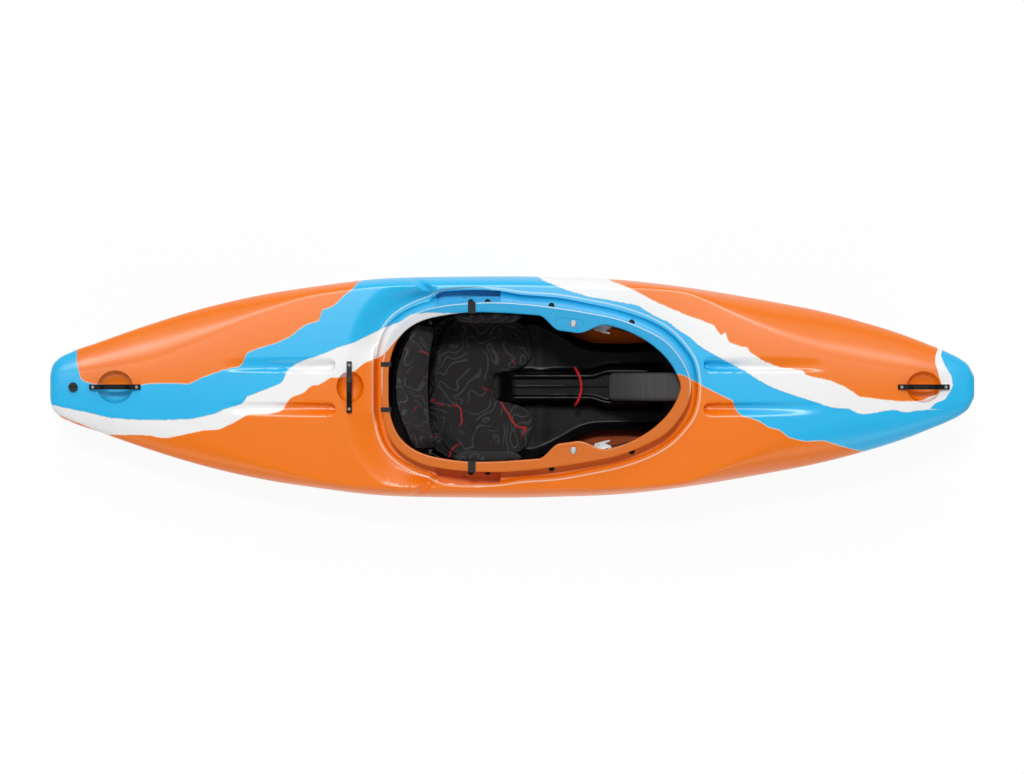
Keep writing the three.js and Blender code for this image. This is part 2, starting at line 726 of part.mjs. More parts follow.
function hullShell(room) {
  const cut = troughSpace(troughOutline, 0);
  const neckPost = solid(liftToRim(prism(neckOutside, troughFloor - wall / 2, -flangeThickness / 2)));
  const deepPost = solid(liftToRim(prism(neckOutside, troughFloor - 2 * neckHeight, deckHeight)));
  let shell = shellLoft(stationStep, 0, 0, outerSteps).subtract(cut.trough);
  shell = shell.subtract(cut.pockets.subtract(deepPost)).add(neckPost);

  for (const [sizes, x] of bowls) shell = shell.subtract(bowl(sizes, x, 0, bowlSteps));
  const feet = Object.values(bars).flatMap((bar) => bar.feet.map(([x, y]) => [x, y, bar.top]));
  for (const foot of feet) {
    shell = shell.add(solid(disc(bossRadius, -2 * wall, 0, boltSteps).translate(...foot)));
  }
  shell = shell.add(solid(disc(plugBossRadius, -wall, 0, plugSteps).translate(plugX, 0, plugTop)));

  shell = shell.subtract(room);
  shell = shell.subtract(solid(liftToRim(prism(neckInside, troughFloor - neckHeight, deckHeight))));
  shell = shell.add(rimFlange());
  const recess = hookRecess();
  shell = shell.subtract(recess).subtract(recess.scale([1, -1, 1]));
  for (const foot of feet) {
    const hole = disc(barBoltRadius + clearance, -overrun, overrun, boltSteps);
    shell = shell.subtract(solid(hole.translate(...foot)));
  }
  for (const { x, y, z, tilt } of sideBoltPlaces()) {
    for (const side of [1, -1]) {
      const hole = disc(sideBoltRadius + clearance, -overrun, overrun / 2, boltSteps).rotateY(-tilt);
      shell = shell.subtract(solid(hole.translate(x, side * y, z)));
    }
  }
  const plugHole = disc(plugNeckRadius + clearance, -overrun, overrun, plugSteps);
  return geometryOf(shell.subtract(solid(plugHole.translate(plugX, 0, plugTop))));
}

// Body between two sheets of points, closed round its border; point(u, v, side) has u and v from 0 to 1
function closedSheet(columns, rows, point) {
  const corners = [];
  const triangles = [];
  const index = (i, j, side) => (side * (columns + 1) + i) * (rows + 1) + j;
  for (const side of [0, 1]) {
    for (let i = 0; i <= columns; i += 1) {
      for (let j = 0; j <= rows; j += 1) corners.push(point(i / columns, j / rows, side));
    }
  }
  const quad = (a, b, c, d) => triangles.push([a, b, c], [a, c, d]);
  for (let i = 0; i < columns; i += 1) {
    for (let j = 0; j < rows; j += 1) {
      quad(index(i, j, 1), index(i + 1, j, 1), index(i + 1, j + 1, 1), index(i, j + 1, 1));
      quad(index(i, j, 0), index(i, j + 1, 0), index(i + 1, j + 1, 0), index(i + 1, j, 0));
    }
    quad(index(i, 0, 0), index(i + 1, 0, 0), index(i + 1, 0, 1), index(i, 0, 1));
    quad(index(i + 1, rows, 0), index(i, rows, 0), index(i, rows, 1), index(i + 1, rows, 1));
  }
  for (let j = 0; j < rows; j += 1) {
    quad(index(0, j + 1, 0), index(0, j, 0), index(0, j, 1), index(0, j + 1, 1));
    quad(index(columns, j, 0), index(columns, j + 1, 0), index(columns, j + 1, 1), index(columns, j, 1));
  }
  return body(corners, triangles);
}

// Copy for the other side of the boat
function mirrored(geometry) {
  return geometryOf(solid(geometry).scale([1, -1, 1]));
}

function box(low, high) {
  const size = high.map((value, axis) => value - low[axis]);
  const middle = high.map((value, axis) => (value + low[axis]) / 2);
  return new THREE.BoxGeometry(...size).translate(...middle);
}

// Plate with the outline in the x-z plane, with its thickness along y
function sidePlate(points, low, high, round = 0) {
  const shape = new THREE.Shape(points.map(([x, z]) => new THREE.Vector2(x, z)));
  const bevel = { bevelThickness: round, bevelSize: round, bevelOffset: -round, bevelSegments: 1 };
  const depth = high - low - 2 * round;
  const geometry = new THREE.ExtrudeGeometry(shape, { depth, bevelEnabled: round > 0, ...bevel });
  return geometry.rotateX(Math.PI / 2).translate(0, high - round, 0);
}

// Bar with the outline in the y-z plane, with its length along x
function lengthwise(points, low, high) {
  const shape = new THREE.Shape(points.map(([y, z]) => new THREE.Vector2(y, z)));
  const geometry = new THREE.ExtrudeGeometry(shape, { depth: high - low, bevelEnabled: false });
  return geometry.rotateX(Math.PI / 2).rotateZ(Math.PI / 2).translate(low, 0, 0);
}

function bolt(radius, grip, headRadius, headHeight, steps) {
  const [shoulderShare, topShare] = [0.55, 0.7];
  const head = [[headRadius, clearance], [headRadius, shoulderShare * headHeight], [topShare * headRadius, headHeight]];
  return revolved([[0, -grip], [radius, -grip], [radius, clearance], ...head, [0, headHeight]], steps);
}

// Arched bar on its two flat feet
function grabBar() {
  const half = barLength / 2;
  const footEnd = half - 2 * bossRadius;
  const riseShare = 0.6;
  const steps = 10;
  const points = [];
  const lift = (x) => barRise * THREE.MathUtils.smoothstep(footEnd - Math.abs(x), 0, riseShare * footEnd);
  for (let i = 0; i <= steps; i += 1) {
    const x = -half + (i / steps) * barLength;
    points.push([x, clearance + lift(x)]);
  }
  for (let i = steps; i >= 0; i -= 1) {
    const x = -half + (i / steps) * barLength;
    const end = i === 0 || i === steps ? barThickness / 2 : barThickness;
    points.push([x, clearance + lift(x) + end]);
  }
  let bar = solid(sidePlate(points, -barWidth / 2, barWidth / 2, flangeRound / 2));
  for (const x of [-barFoot, barFoot]) {
    bar = bar.subtract(solid(disc(barBoltRadius + clearance, -overrun, 2 * overrun, boltSteps).translate(x, 0, 0)));
  }
  return geometryOf(bar);
}

function drainPlug() {
  const low = gasketThickness + 2 * clearance;
  const top = low + plugHeight;
  const round = plugHeight / 3;
  const profile = [[0, low - plugNeckLength], [plugNeckRadius, low - plugNeckLength], [plugNeckRadius, low]];
  profile.push([plugRadius, low], [plugRadius, top - round], [plugRadius - round, top], [0, top]);
  const slot = box([-plugRadius * 2, -plugSlotWidth / 2, top - plugSlotDepth], [plugRadius * 2, plugSlotWidth / 2, top * 2]);
  return geometryOf(solid(revolved(profile, plugSteps)).subtract(solid(slot)));
}

function drainGasket() {
  const [low, high] = [clearance, clearance + gasketThickness];
  const inside = plugNeckRadius + clearance;
  return revolved([[inside, low], [gasketRadius, low], [gasketRadius, high], [inside, high], [inside, low]], plugSteps);
}

// Rail of the seat: a channel that is open upwards
function seatRail() {
  const [low, high] = [wall + clearance, wall + clearance + railHeight];
  const [out, groove] = [railWidth / 2, railGroove / 2];
  const floor = low + railHeight / 3;
  const half = [[out, low], [out, high], [groove, high], [groove, floor]];
  const points = [...half, ...half.map(([y, z]) => [-y, z]).reverse()];
  return lengthwise(points, railRear, railFront);
}

// Half width of the seat pan along the boat
const panShares = [[0, 0.8], [0.035, 0.9], [0.087, 0.99], [0.26, 1], [0.39, 1], [0.45, 0.93], [0.52, 0.8],
  [0.58, 0.68], [0.65, 0.61], [0.74, 0.6], [0.87, 0.62], [1, 0.56]];
const panLength = panFront - panRear;
const panFloor = wall + railHeight + 2 * clearance;
const panHalf = hipPlateOut - hipPlateThickness - hipPadThickness / 3;

function panHalfWidth(x) {
  return panHalf * readShares(panShares, 1, (x - panRear) / panLength);
}

// Height of the console's ridge over the pan's floor
function ridgeAt(x) {
  const step = THREE.MathUtils.smoothstep(x, ridgeRear, ridgeRear + ridgeStep);
  const climb = THREE.MathUtils.clamp((x - ridgeRear) / (pillarRear - ridgeRear), 0, 1);
  const end = 1 - THREE.MathUtils.smoothstep(x, ridgeFront, ridgeFront + ridgeStep);
  return step * end * (ridgeStepHeight + (ridgeHeight - ridgeStepHeight) * climb);
}

// How far the two edges of the ridge move apart to pass the pillar
function spreadAt(x) {
  return ridgeSpread * THREE.MathUtils.smoothstep(x, pillarRear - 1.5 * ridgeTop, pillarRear);
}

// Height of the pan's edge over its floor: low at the rear, high round the seat, less beside the console
function panEdgeAt(x) {
  const [rearShare, seatShare, frontShare] = [1.2, 2.4, 1.8];
  const rear = THREE.MathUtils.smoothstep(x, panRear, panRear + panLip * 2);
  const front = THREE.MathUtils.smoothstep(x, ridgeRear + ridgeStep, ridgeRear + 4 * ridgeStep);
  return panLip * (rearShare + (seatShare - rearShare) * rear + (frontShare - seatShare) * front);
}

function keelAt(x) {
  return readShares(stationShares, KEEL, x / halfLength) * deckHeight;
}

// Height of the pan's floor, which climbs with the hull's floor and stays clear of it through the seat's travel
function panFloorAt(x) {
  return Math.max(panFloor, keelAt(x + seatTravel) + wall + seatOff);
}

// Upper face of the pan across one station, from the centreline to port. The ridge has a channel
// along its top with a rib in the middle.
function panSection(x) {
  const half = panHalfWidth(x);
  const ridge = ridgeAt(x);
  const edge = panEdgeAt(x);
  const floor = panFloorAt(x) + panThickness;
  const share = Math.min(1, ridge / panLip);
  const round = panThickness * share;
  const bowl = half - panLip;
  const crest = floor + ridge;
  const bed = crest - ridgeChannel * share;
  const top = ridgeTop + spreadAt(x);
  const foot = ridgeFoot + spreadAt(x);
  return [
    [0, bed + ridgeRib * share], [ridgeRib, bed], [top - 4 * panThickness, bed],
    [top - 2.2 * panThickness, crest], [top - panThickness, crest], [top, crest - round],
    [foot, floor + round / 4], [bowl, floor],
    [half - panLip / 4, floor + edge / 2], [half, floor + edge],
  ];
}

// Upper face of the pan at any point
function panHeight(x, y) {
  const section = panSection(x);
  const out = Math.abs(y);
  let i = 0;
  while (i < section.length - 2 && out > section[i + 1][0]) i += 1;
  const [from, to] = [section[i], section[i + 1]];
  return from[1] + (to[1] - from[1]) * THREE.MathUtils.clamp((out - from[0]) / (to[0] - from[0]), 0, 1);
}

// Open polyline moved sideways by a distance, with mitred corners
function offsetLine(points, distance) {
  return points.map((point, i) => {
    const here = new THREE.Vector2(...point);
    const before = i > 0 ? new THREE.Vector2(...points[i - 1]) : null;
    const after = i + 1 < points.length ? new THREE.Vector2(...points[i + 1]) : null;
    const normals = [];
    for (const [from, to] of [[before, here], [here, after]]) {
      if (!from || !to) continue;
      const along = to.clone().sub(from).normalize();
      normals.push(new THREE.Vector2(-along.y, along.x));
    }
    const mean = normals.reduce((sum, normal) => sum.add(normal), new THREE.Vector2()).normalize();
    const reach = distance / mean.dot(normals[normals.length - 1]);
    return [here.x + mean.x * reach, here.y + mean.y * reach];
  });
}

function panStations() {
  const rear = [0, 0.25, 0.6, 1].map((share) => panRear + share * 3 * panLip);
  const seat = [0.3, 0.65, 1].map((share) => rear[3] + share * (ridgeRear - rear[3]));
  const step = [0.3, 0.7, 1].map((share) => ridgeRear + share * ridgeStep);
  const front = panFront - step[2];
  const console = [0.1, 0.22, 0.35, 0.5, 0.56, 0.76, 0.88, 1].map((share) => step[2] + share * front);
  return [...rear, ...seat, ...step, ...console];
}

const pillarFront = pillarRear + pillarLength;

// Sheet along the pan: its upper face off the pan's by a distance, and a thickness or a straight drop below
function panSheet(above, thickness, drop = 0) {
  const stations = panStations();
  const across = panSection(0).length - 1;
  return closedSheet(stations.length - 1, 2 * across, (u, v, side) => {
    const x = stations[Math.round(u * (stations.length - 1))];
    const upper = panSection(x);
    const full = [...upper.slice(1).reverse().map(([y, z]) => [-y, z]), ...upper];
    const [y, z] = offsetLine(full, side === 1 ? above : above - thickness)[Math.round(v * 2 * across)];
    return [x, y, side === 1 ? z : z - drop];
  });
}

function seatPan() {
  const sheet = panSheet(0, panThickness);
  const half = pillarWidth / 2 + pillarFit;
  const socket = box([pillarRear - pillarFit, -half, 0], [panFront + overrun, half, deckHeight]);
  return geometryOf(solid(sheet).subtract(solid(socket)));
}

// Half outline of the seat pad: the place of its rear and front edge at distances out from the centreline,
// as shares of its half width, of the rear edge and of the lobes' front
const padHalfWidth = panHalf - padSide;
const padShares = [[0, 1, -0.62], [0.19, 1, -0.5], [0.25, 1, 0.2], [0.34, 0.99, 0.72], [0.52, 0.97, 1],
  [0.72, 0.93, 0.93], [0.88, 0.85, 0.76], [0.96, 0.78, 0.56], [1, 0.7, 0.3]];
const padColumns = 12;
const padRowShares = [-1, -0.9, -0.78, -0.62, -0.48, -0.34, -0.25, -0.19, -0.08];

// Share of the full thickness: the pad's sides pull in towards its seams
function crowned(u, v, power = 0.35) {
  const [a, b] = [4 * u * (1 - u), 4 * v * (1 - v)];
  return Math.min(1, a * b * 4) ** power;
}

function seatPad() {
  const rows = [...padRowShares, ...padRowShares.map((share) => -share).reverse()];
  const cushion = closedSheet(padColumns, rows.length - 1, (u, v, side) => {
    const out = rows[Math.round(v * (rows.length - 1))];
    const rear = readShares(padShares, 1, Math.abs(out)) * padRear;
    const lobe = readShares(padShares, 2, Math.abs(out));
    const front = lobe > 0 ? lobe * padFront : -lobe * ridgeRear * 2;
    const x = rear + (front - rear) * u;
    const y = out * padHalfWidth;
    const low = panHeight(x, y);
    const seam = padSeamDepth * Math.max(0, 1 - Math.abs(x - padSeamPlace) / padSeamWidth);
    const edge = Math.min(1, crowned(u, (out + 1) / 2));
    return [x, y, side === 0 ? low - panThickness / 4 : low + padEdge + (padThickness - padEdge) * edge - seam * edge];
  });
  return geometryOf(solid(cushion).subtract(solid(panSheet(padGap, 0, deckHeight / 4))));
}

// Plate beside the hip, with a flange bolted under the pocket
function hipPlate() {
  const top = pocketFloor - wall - clearance;
  const inside = hipPlateOut - hipPlateThickness;
  const corner = hipCornerShare * (top - hipPlateLow);
  const outline = [[hipPlateRear, hipPlateLow + corner], [hipPlateRear + corner / 2, hipPlateLow]];
  outline.push([hipPlateFront - corner / 2, hipPlateLow], [hipPlateFront, hipPlateLow + corner / 2]);
  outline.push([hipPlateFront, top - corner / 2], [hipFlangeFront, top], [hipFlangeRear, top]);
  outline.push([hipPlateRear, top - corner / 2]);
  const plate = solid(sidePlate(outline, inside, hipPlateOut));
  const low = [hipFlangeRear, inside, top - hipPlateThickness];
  let bracket = plate.add(solid(box(low, [hipFlangeFront, hipPlateOut + hipFlangeWidth, top])));
  for (const [x, y] of hipBolts) {
    bracket = bracket.subtract(solid(disc(sideBoltRadius + clearance, -overrun, overrun, boltSteps).translate(x, y, top)));
  }
  return geometryOf(bracket);
}

function hipPad() {
  const outside = hipPlateOut - hipPlateThickness - clearance;
  const low = hipPlateLow + panLip / 4;
  const high = pocketFloor - wall - panLip / 4;
  return closedSheet(8, 6, (u, v, side) => {
    const [along, up] = [2 * u - 1, 2 * v - 1];
    const corner = 1 - 0.12 * along ** 2 * up ** 2;
    const x = (hipPlateRear + hipPlateFront) / 2 + along * corner * (hipPlateFront - hipPlateRear - panLip / 2) / 2;
    const z = (low + high) / 2 + up * corner * (high - low) / 2;
    const thickness = hipPadEdge + (hipPadThickness - hipPadEdge) * crowned(u, v);
    return [x, side === 0 ? outside : outside - thickness, z];
  });
}

// Line up the backband's face at one place across: its lower front and upper rear points
function bandSection(across) {
  const sweep = across ** 2;
  const low = [bandFront + bandFrontSweep * sweep, bandLow];
  const high = [bandRear + bandRearSweep * sweep, bandHigh - bandShoulderDrop * sweep ** 2];
  return [low, high];
}

const bandRows = 6;
const bandColumns = 14;

// Point of the backband, off its rear face by a distance
function bandPoint(u, v, off) {
  const across = 2 * v - 1;
  const [low, high] = bandSection(across);
  const along = new THREE.Vector2(high[0] - low[0], high[1] - low[1]).normalize();
  const x = low[0] + (high[0] - low[0]) * u + along.y * off;
  const z = low[1] + (high[1] - low[1]) * u - along.x * off;
  return [x, across * bandHalfWidth, z];
}

function bandPad() {
  return closedSheet(bandRows, bandColumns, (u, v, side) => {
    const full = bandPadEdge + (bandPadThickness - bandPadEdge) * crowned(u, v);
    return bandPoint(u, v, side === 0 ? 2 * clearance : full);
  });
}

function bandShell() {
  return closedSheet(bandRows / 2, bandColumns, (u, v, side) => bandPoint(u, v, side === 0 ? -bandShellThickness : 0));
}

// Place on the boat of a row of shares: along and across the rim, and up the deck height
function boatPoint([along, across, up]) {
  return [alongRim(along), across * rimHalfWidth, up * deckHeight];
}

// Pivot of the backband, from its end to the strap beside it
function bandPivot() {
  const [[fromX, fromY], [toX, toY]] = strapRearShares.map(boatPoint);
  const share = (bandPivotX - bandPivotRadius - fromX) / (toX - fromX);
  const low = bandHalfWidth + clearance;
  const high = fromY + share * (toY - fromY) - strapThickness / 2 - clearance;
  const head = low + bandPivotHeadThickness;
  const profile = [[0, low], [bandPivotHead, low], [bandPivotHead, head], [bandPivotRadius, head]];
  return revolved([...profile, [bandPivotRadius, high], [0, high]], boltSteps).rotateX(-Math.PI / 2);
}

// Plan of the part of a brace under the thigh hook
function bracePlan(inset, out) {
  const half = braceLength / 2 - inset;
  const [rearShare, frontShare] = [-0.15, 0.45];
  const reach = -braceReach + inset;
  const tip = -braceTip - inset;
  return [[-half, out], [-half, tip], [rearShare * half, reach], [frontShare * half, reach], [half, tip],
    [half, out]].map(([x, y]) => new THREE.Vector2(x, y));
}

function thighBrace() {
  const top = -flangeThickness - clearance;
  const under = troughFloor - wall - clearance;
  const face = -seatOff;
  const t = braceThickness;
  const points = [[-braceReach, top], [face, top], [face, under], [braceArm, under], [braceArm, under - t]];
  points.push([face - t, under - t], [face - t, top - t], [-braceReach, top - t]);
  const half = braceLength / 2;
  const bent = solid(lengthwise(points, -half, half));
  let brace = bent.intersect(solid(prism(bracePlan(0, braceArm + t), under - 2 * t, top + t)));
  for (const place of [thighBolt, hookBolt]) {
    const [x, y] = inChord(braceChord, place);
    const r = sideBoltRadius + 2 * clearance;
    const slot = box([x - braceTravel - r, y - r, under - overrun], [x + braceTravel + r, y + r, overrun]);
    brace = brace.subtract(solid(slot));
  }
  return geometryOf(brace);
}

function thighPad() {
  const top = -flangeThickness - braceThickness - 2 * clearance;
  const round = thighPadThickness / 4;
  const shape = new THREE.Shape(bracePlan(thighPadInset, -braceThickness - seatOff - clearance));
  const bevel = { bevelThickness: round, bevelSize: round, bevelOffset: -round, bevelSegments: 2 };
  const geometry = new THREE.ExtrudeGeometry(shape, { depth: thighPadThickness - 2 * round, ...bevel });
  let pad = solid(geometry.translate(0, 0, top - thighPadThickness + round));
  const [x, y] = inChord(braceChord, hookBolt);
  const r = sideBoltRadius + 2 * clearance;
  const slot = box([x - braceTravel - r, y - r, top - overrun], [x + braceTravel + r, y + r, overrun]);
  return geometryOf(pad.subtract(solid(slot)));
}

const cheekOut = cheekGap / 2 + cheekThickness;

// Frame of a ratchet: a plate on the neck with two cheeks, the strap running between them
function ratchetBase() {
  const face = -seatOff;
  const back = face - ratchetPlate;
  const half = ratchetLength / 2;
  const tab = box([-ratchetTab / 2, back, -ratchetDrop], [ratchetTab / 2, face, -flangeThickness - ratchetPlate]);
  const plate = box([-half, back, -ratchetDrop - cheekOut], [half, face, -ratchetDrop + cheekOut]);
  let frame = solid(tab).add(solid(plate));
  const outline = [[-half, back], [-half, -ratchetDepth / 2], [-ratchetDepth * 0.75, -ratchetDepth]];
  outline.push([ratchetDepth / 4, -ratchetDepth], [half, back - ratchetPlate], [half, back]);
  const cheekShape = outline.map(([x, y]) => new THREE.Vector2(x, y + ratchetPlate / 2)).reverse();
  for (const side of [-1, 1]) {
    const low = -ratchetDrop + (side > 0 ? cheekGap / 2 : -cheekOut);
    frame = frame.add(solid(prism(cheekShape, low, low + cheekThickness)));
  }
  const [x, y] = ratchetPinPlace;
  const bore = disc(ratchetPinRadius + clearance, -ratchetDrop - overrun, -ratchetDrop + overrun, 12);
  return geometryOf(frame.subtract(solid(bore.translate(x, y, 0))));
}

function ratchetPin() {
  const reach = cheekOut + cheekThickness;
  return disc(ratchetPinRadius, -reach, reach, 12);
}

// Lever about its pin: a nose towards the strap, and a handle that sweeps forward
function ratchetLever() {
  const r = ratchetPinRadius + leverThickness;
  const half = cheekGap / 2 - clearance;
  const noseOut = -ratchetPinPlace[1] - seatOff - ratchetPlate - strapThickness - toothHeight - 4 * clearance;
  const points = [[-r, 0], [-r * 0.7, -r * 0.7], [0, -r], [leverReach * 0.45, -r - leverThickness / 2]];
  points.push([leverReach, -r * 1.3], [leverReach, -r * 1.3 + leverThickness], [leverReach * 0.45, -leverThickness / 2]);
  points.push([r, r / 3], [leverThickness / 3, noseOut], [-leverThickness / 2, noseOut], [-r * 0.7, r * 0.6]);
  const shape = points.map(([x, y]) => new THREE.Vector2(x, y));
  const lever = solid(prism(shape, -half, half));
  return geometryOf(lever.subtract(solid(disc(ratchetPinRadius + clearance, -overrun, overrun, 12))));
}

const strapLine = -seatOff - ratchetPlate - 2 * clearance - strapThickness / 2;

// Point of a chord's own directions, with heights off the rim's plane, in the boat's directions
function fromChord(chord, point) {
  const turned = new THREE.Vector3(...point).applyEuler(new THREE.Euler(0, -rimTilt, chord.turn, "YZX"));
  return turned.add(new THREE.Vector3(chord.x, chord.y, rimHeight(chord.x))).toArray();
}

// Route of a ladder strap from the backband, round the hip plate and through the ratchet
function strapRoute() {
  const throughShare = 0.6;
  const through = [-throughShare, 0, throughShare].map((share) => share * ratchetLength);
  const middle = through.map((along) => fromChord(ratchetChord, [along, strapLine, -ratchetDrop]));
  const points = [...strapRearShares.map(boatPoint), ...middle, ...strapTailShares.map(boatPoint)];
  const corners = points.map((point) => new THREE.Vector3(...point));
  return new THREE.CatmullRomCurve3(corners, false, "centripetal");
}

function ladderStrap() {
  const route = strapRoute();
  const length = route.getLength();
  const places = [];
  const add = (distance, height) => places.push([Math.min(1, distance / length), height]);
  for (let d = 0; d < length - 2 * toothStart - toothPitch; d += strapStep) add(d, 0);
  const from = length - 2 * toothStart;
  const teeth = Math.floor((2 * toothStart - toothPitch) / toothPitch);
  for (let i = 0; i < teeth; i += 1) {
    add(from + i * toothPitch, 0);
    add(from + (i + 0.7) * toothPitch, toothHeight);
  }
  add(from + teeth * toothPitch, 0);
  add(length, 0);
  const rings = places.map(([share, height]) => {
    const point = route.getPointAt(share);
    const tangent = route.getTangentAt(share);
    const out = new THREE.Vector3(-tangent.y, tangent.x, 0).normalize();
    const [t, w] = [strapThickness / 2, strapWidth / 2];
    const corner = (off, up) => [point.x + out.x * off, point.y + out.y * off, point.z + up];
    return [corner(t, -w), corner(t, w), corner(-t - height, w), corner(-t - height, -w)];
  });
  return loft(rings);
}

// Band over the rim: an upside-down U that follows the rim's slope
function sideWebbing() {
  const inside = outlineAt(neckInside, sideWebbingPlace) - 4 * clearance;
  const outside = outlineAt(flangeOutline, sideWebbingPlace) + 2 * clearance;
  const t = webbingThickness;
  const points = [[inside, -webbingLeg], [inside, clearance], [outside, clearance], [outside, -webbingLeg]];
  points.push([outside + t, -webbingLeg], [outside + t, clearance + t], [inside - t, clearance + t], [inside - t, -webbingLeg]);
  const [low, high] = [sideWebbingPlace - webbingWidth / 2, sideWebbingPlace + webbingWidth / 2];
  return liftToRim(lengthwise(points, low, high));
}

function rearWebbing() {
  const share = rearWebbingPlace / rimHalfWidth;
  const edge = (rows) => {
    const row = rows.findIndex((entry) => entry[1] > share);
    const [from, to] = [rows[row - 1], rows[row]];
    return rimCentre + rimHalfLength * (from[0] + (to[0] - from[0]) * ((share - from[1]) / (to[1] - from[1])));
  };
  const bend = 3 * clearance + webbingThickness / 2;
  const [rear, front] = [edge(flangeShares) - bend, edge(mouthShares) + bend];
  const t = webbingThickness;
  const points = [[rear, -webbingLeg], [rear, clearance], [front, clearance], [front, -webbingLeg]];
  points.push([front + t, -webbingLeg], [front + t, clearance + t], [rear - t, clearance + t], [rear - t, -webbingLeg]);
  const [low, high] = [rearWebbingPlace - rearWebbingWidth / 2, rearWebbingPlace + rearWebbingWidth / 2];
  return liftToRim(sidePlate(points, low, high));
}

// Elastic cord that arches over the console from one side wall to the other
function consoleCord() {
  const r = cordDiameter / 2;
  const top = panFloorAt(cordPlace) + panThickness + ridgeAt(cordPlace + cordBow + r) + clearance + r;
  const out = ridgeFoot + r;
  const bowAt = (y) => cordBow * (1 - (y / out) ** 2);
  const shoulder = ridgeTop + 2 * r;
  const port = [[0, out, top - 9 * r], [0, out, top - 5 * r], [bowAt(shoulder), shoulder, top - r]];
  port.push([bowAt(ridgeTop), ridgeTop, top], [bowAt(ridgeTop / 2), ridgeTop / 2, top]);
  const starboard = port.map(([x, y, z]) => [x, -y, z]).reverse();
  const points = [...port, [cordBow, 0, top], ...starboard].map(([x, y, z]) => new THREE.Vector3(cordPlace + x, y, z));
  const section = new THREE.Shape().absarc(0, 0, r, 0, 2 * Math.PI);
  const extrudePath = new THREE.CatmullRomCurve3(points, false, "centripetal");
  return new THREE.ExtrudeGeometry(section, { steps: 12, curveSegments: 8, bevelEnabled: false, extrudePath });
}

// Front pillar, shaped to stay clear of the floor through the seat's travel
function frontPillar() {
  const gap = wall + seatOff;
  const steps = 6;
  const points = [];
  for (let i = 0; i <= steps; i += 1) {
    const x = pillarRear + (i / steps) * pillarLength;
    points.push([x, keelAt(x + seatTravel) + gap]);
  }
  const low = panFloor + ridgeHeight + pillarWidth / 2;
  points.push([pillarFront, pillarTop], [pillarRear + pillarLength / 2, pillarTop]);
  points.push([pillarRear + pillarLength / 4, (pillarTop * 2 + low) / 3], [pillarRear, low]);
  return sidePlate(points, -pillarWidth / 2, pillarWidth / 2, pillarRound);
}

function rearPillar(room) {
  const low = [-rearPillarShare * halfLength, -rearPillarWidth / 2, 0];
  const block = solid(box(low, [rimRear - rearPillarGap, rearPillarWidth / 2, deckHeight]));
  const up = room.translate([0, 0, clearance]);
  return geometryOf(block.intersect(up).intersect(room.translate([0, 0, -clearance])));
}

// Outline of the footrest plate, port side from the bottom up
function footOutline(inset) {
  const [footShare, sideShare, headShare, bulgeShare, earShare] = [0.68, 0.85, 0.9, 0.2368, 0.75];
  const [side, ear] = [footRailPlace + footRailThickness, earShare * footRailWidth];
  const port = [[footShare * footRailPlace, footLow + inset]];
  port.push([sideShare * footRailPlace, footLow + bulgeShare * (footHigh - footLow)], [side, footRailHeight - ear]);
  port.push([side, footRailHeight + ear], [headShare * footRailPlace, footHigh - inset]);
  const inner = port.map(([y, z]) => [y - inset, z]);
  return [...inner, ...inner.map(([y, z]) => [-y, z]).reverse()];
}

function footPlate() {
  return lengthwise(footOutline(0), footPlace, footPlace + footThickness);
}

function footFoam() {
  const points = footOutline(panLip).map(([y, z]) => new THREE.Vector2(y, z));
  const round = footFoamThickness / 4;
  const bevel = { bevelThickness: round, bevelSize: round, bevelOffset: -round, bevelSegments: 2 };
  const geometry = new THREE.ExtrudeGeometry(new THREE.Shape(points), { depth: footFoamThickness - 2 * round, ...bevel });
  geometry.rotateX(Math.PI / 2).rotateZ(Math.PI / 2);
  return geometry.translate(footPlace - clearance - footFoamThickness + round, 0, 0);
}

const guideRear = guideBolt[0] - guideLength / 2;

function footRail() {
  const rear = guideRear - footTravel - 2 * clearance;
  const [t, w] = [footRailThickness / 2, footRailWidth / 2];
  return box([rear, footRailPlace - t, footRailHeight - w], [footPlace - clearance, footRailPlace + t, footRailHeight + w]);
}

// Guide of a footrest rail, hung from the trough by its bolt
function footGuide(room) {
  const [x, y] = guideBolt;
  const front = guideRear + guideLength;
  const [t, w] = [footRailThickness / 2 + clearance, footRailWidth / 2 + clearance];
  const [inside, outside] = [footRailPlace - t - guideWall, footRailPlace + t + guideWall];
  const low = footRailHeight - w - guideWall;
  const top = troughFloor - wall - clearance;
  const hanger = liftToRim(box([guideRear, inside, -deckHeight], [front, outside, top]));
  const foot = liftToRim(box([guideRear, y - 2 * guideWall, top - guideWall], [front, outside, top]));
  const floor = box([guideRear - overrun, inside - overrun, -deckHeight], [front + overrun, outside + overrun, low]);
  const slotLow = [guideRear - overrun, footRailPlace - t, footRailHeight - w];
  const slot = box(slotLow, [front + overrun, footRailPlace + t, footRailHeight + w]);
  const hole = disc(sideBoltRadius + clearance, -2 * overrun, overrun, boltSteps).rotateY(-rimTilt);
  hole.translate(x, y, rimHeight(x) + troughFloor);
  const guide = solid(hanger).add(solid(foot)).subtract(solid(floor)).subtract(solid(slot));
  return geometryOf(guide.subtract(solid(hole)).intersect(room.translate([0, 0, -clearance / 2])));
}

const kayak = new THREE.Group();

function place(name, geometry, material, at = [0, 0, 0], turn = 0, tilt = 0) {
  const mesh = new THREE.Mesh(geometry, material);
  mesh.name = name;
  mesh.position.set(...at);
  mesh.rotation.set(0, -tilt, turn, "YZX");
  kayak.add(mesh);
}

// The same piece on both sides of the boat
function placePair(name, geometry, material, at = [0, 0, 0], turn = 0, tilt = 0) {
  place(`${name}_port`, geometry, material, at, turn, tilt);
  place(`${name}_starboard`, mirrored(geometry), material, [at[0], -at[1], at[2]], -turn, tilt);
}

const room = shellRoom();
place("hull_shell", hullShell(room), shellColour);

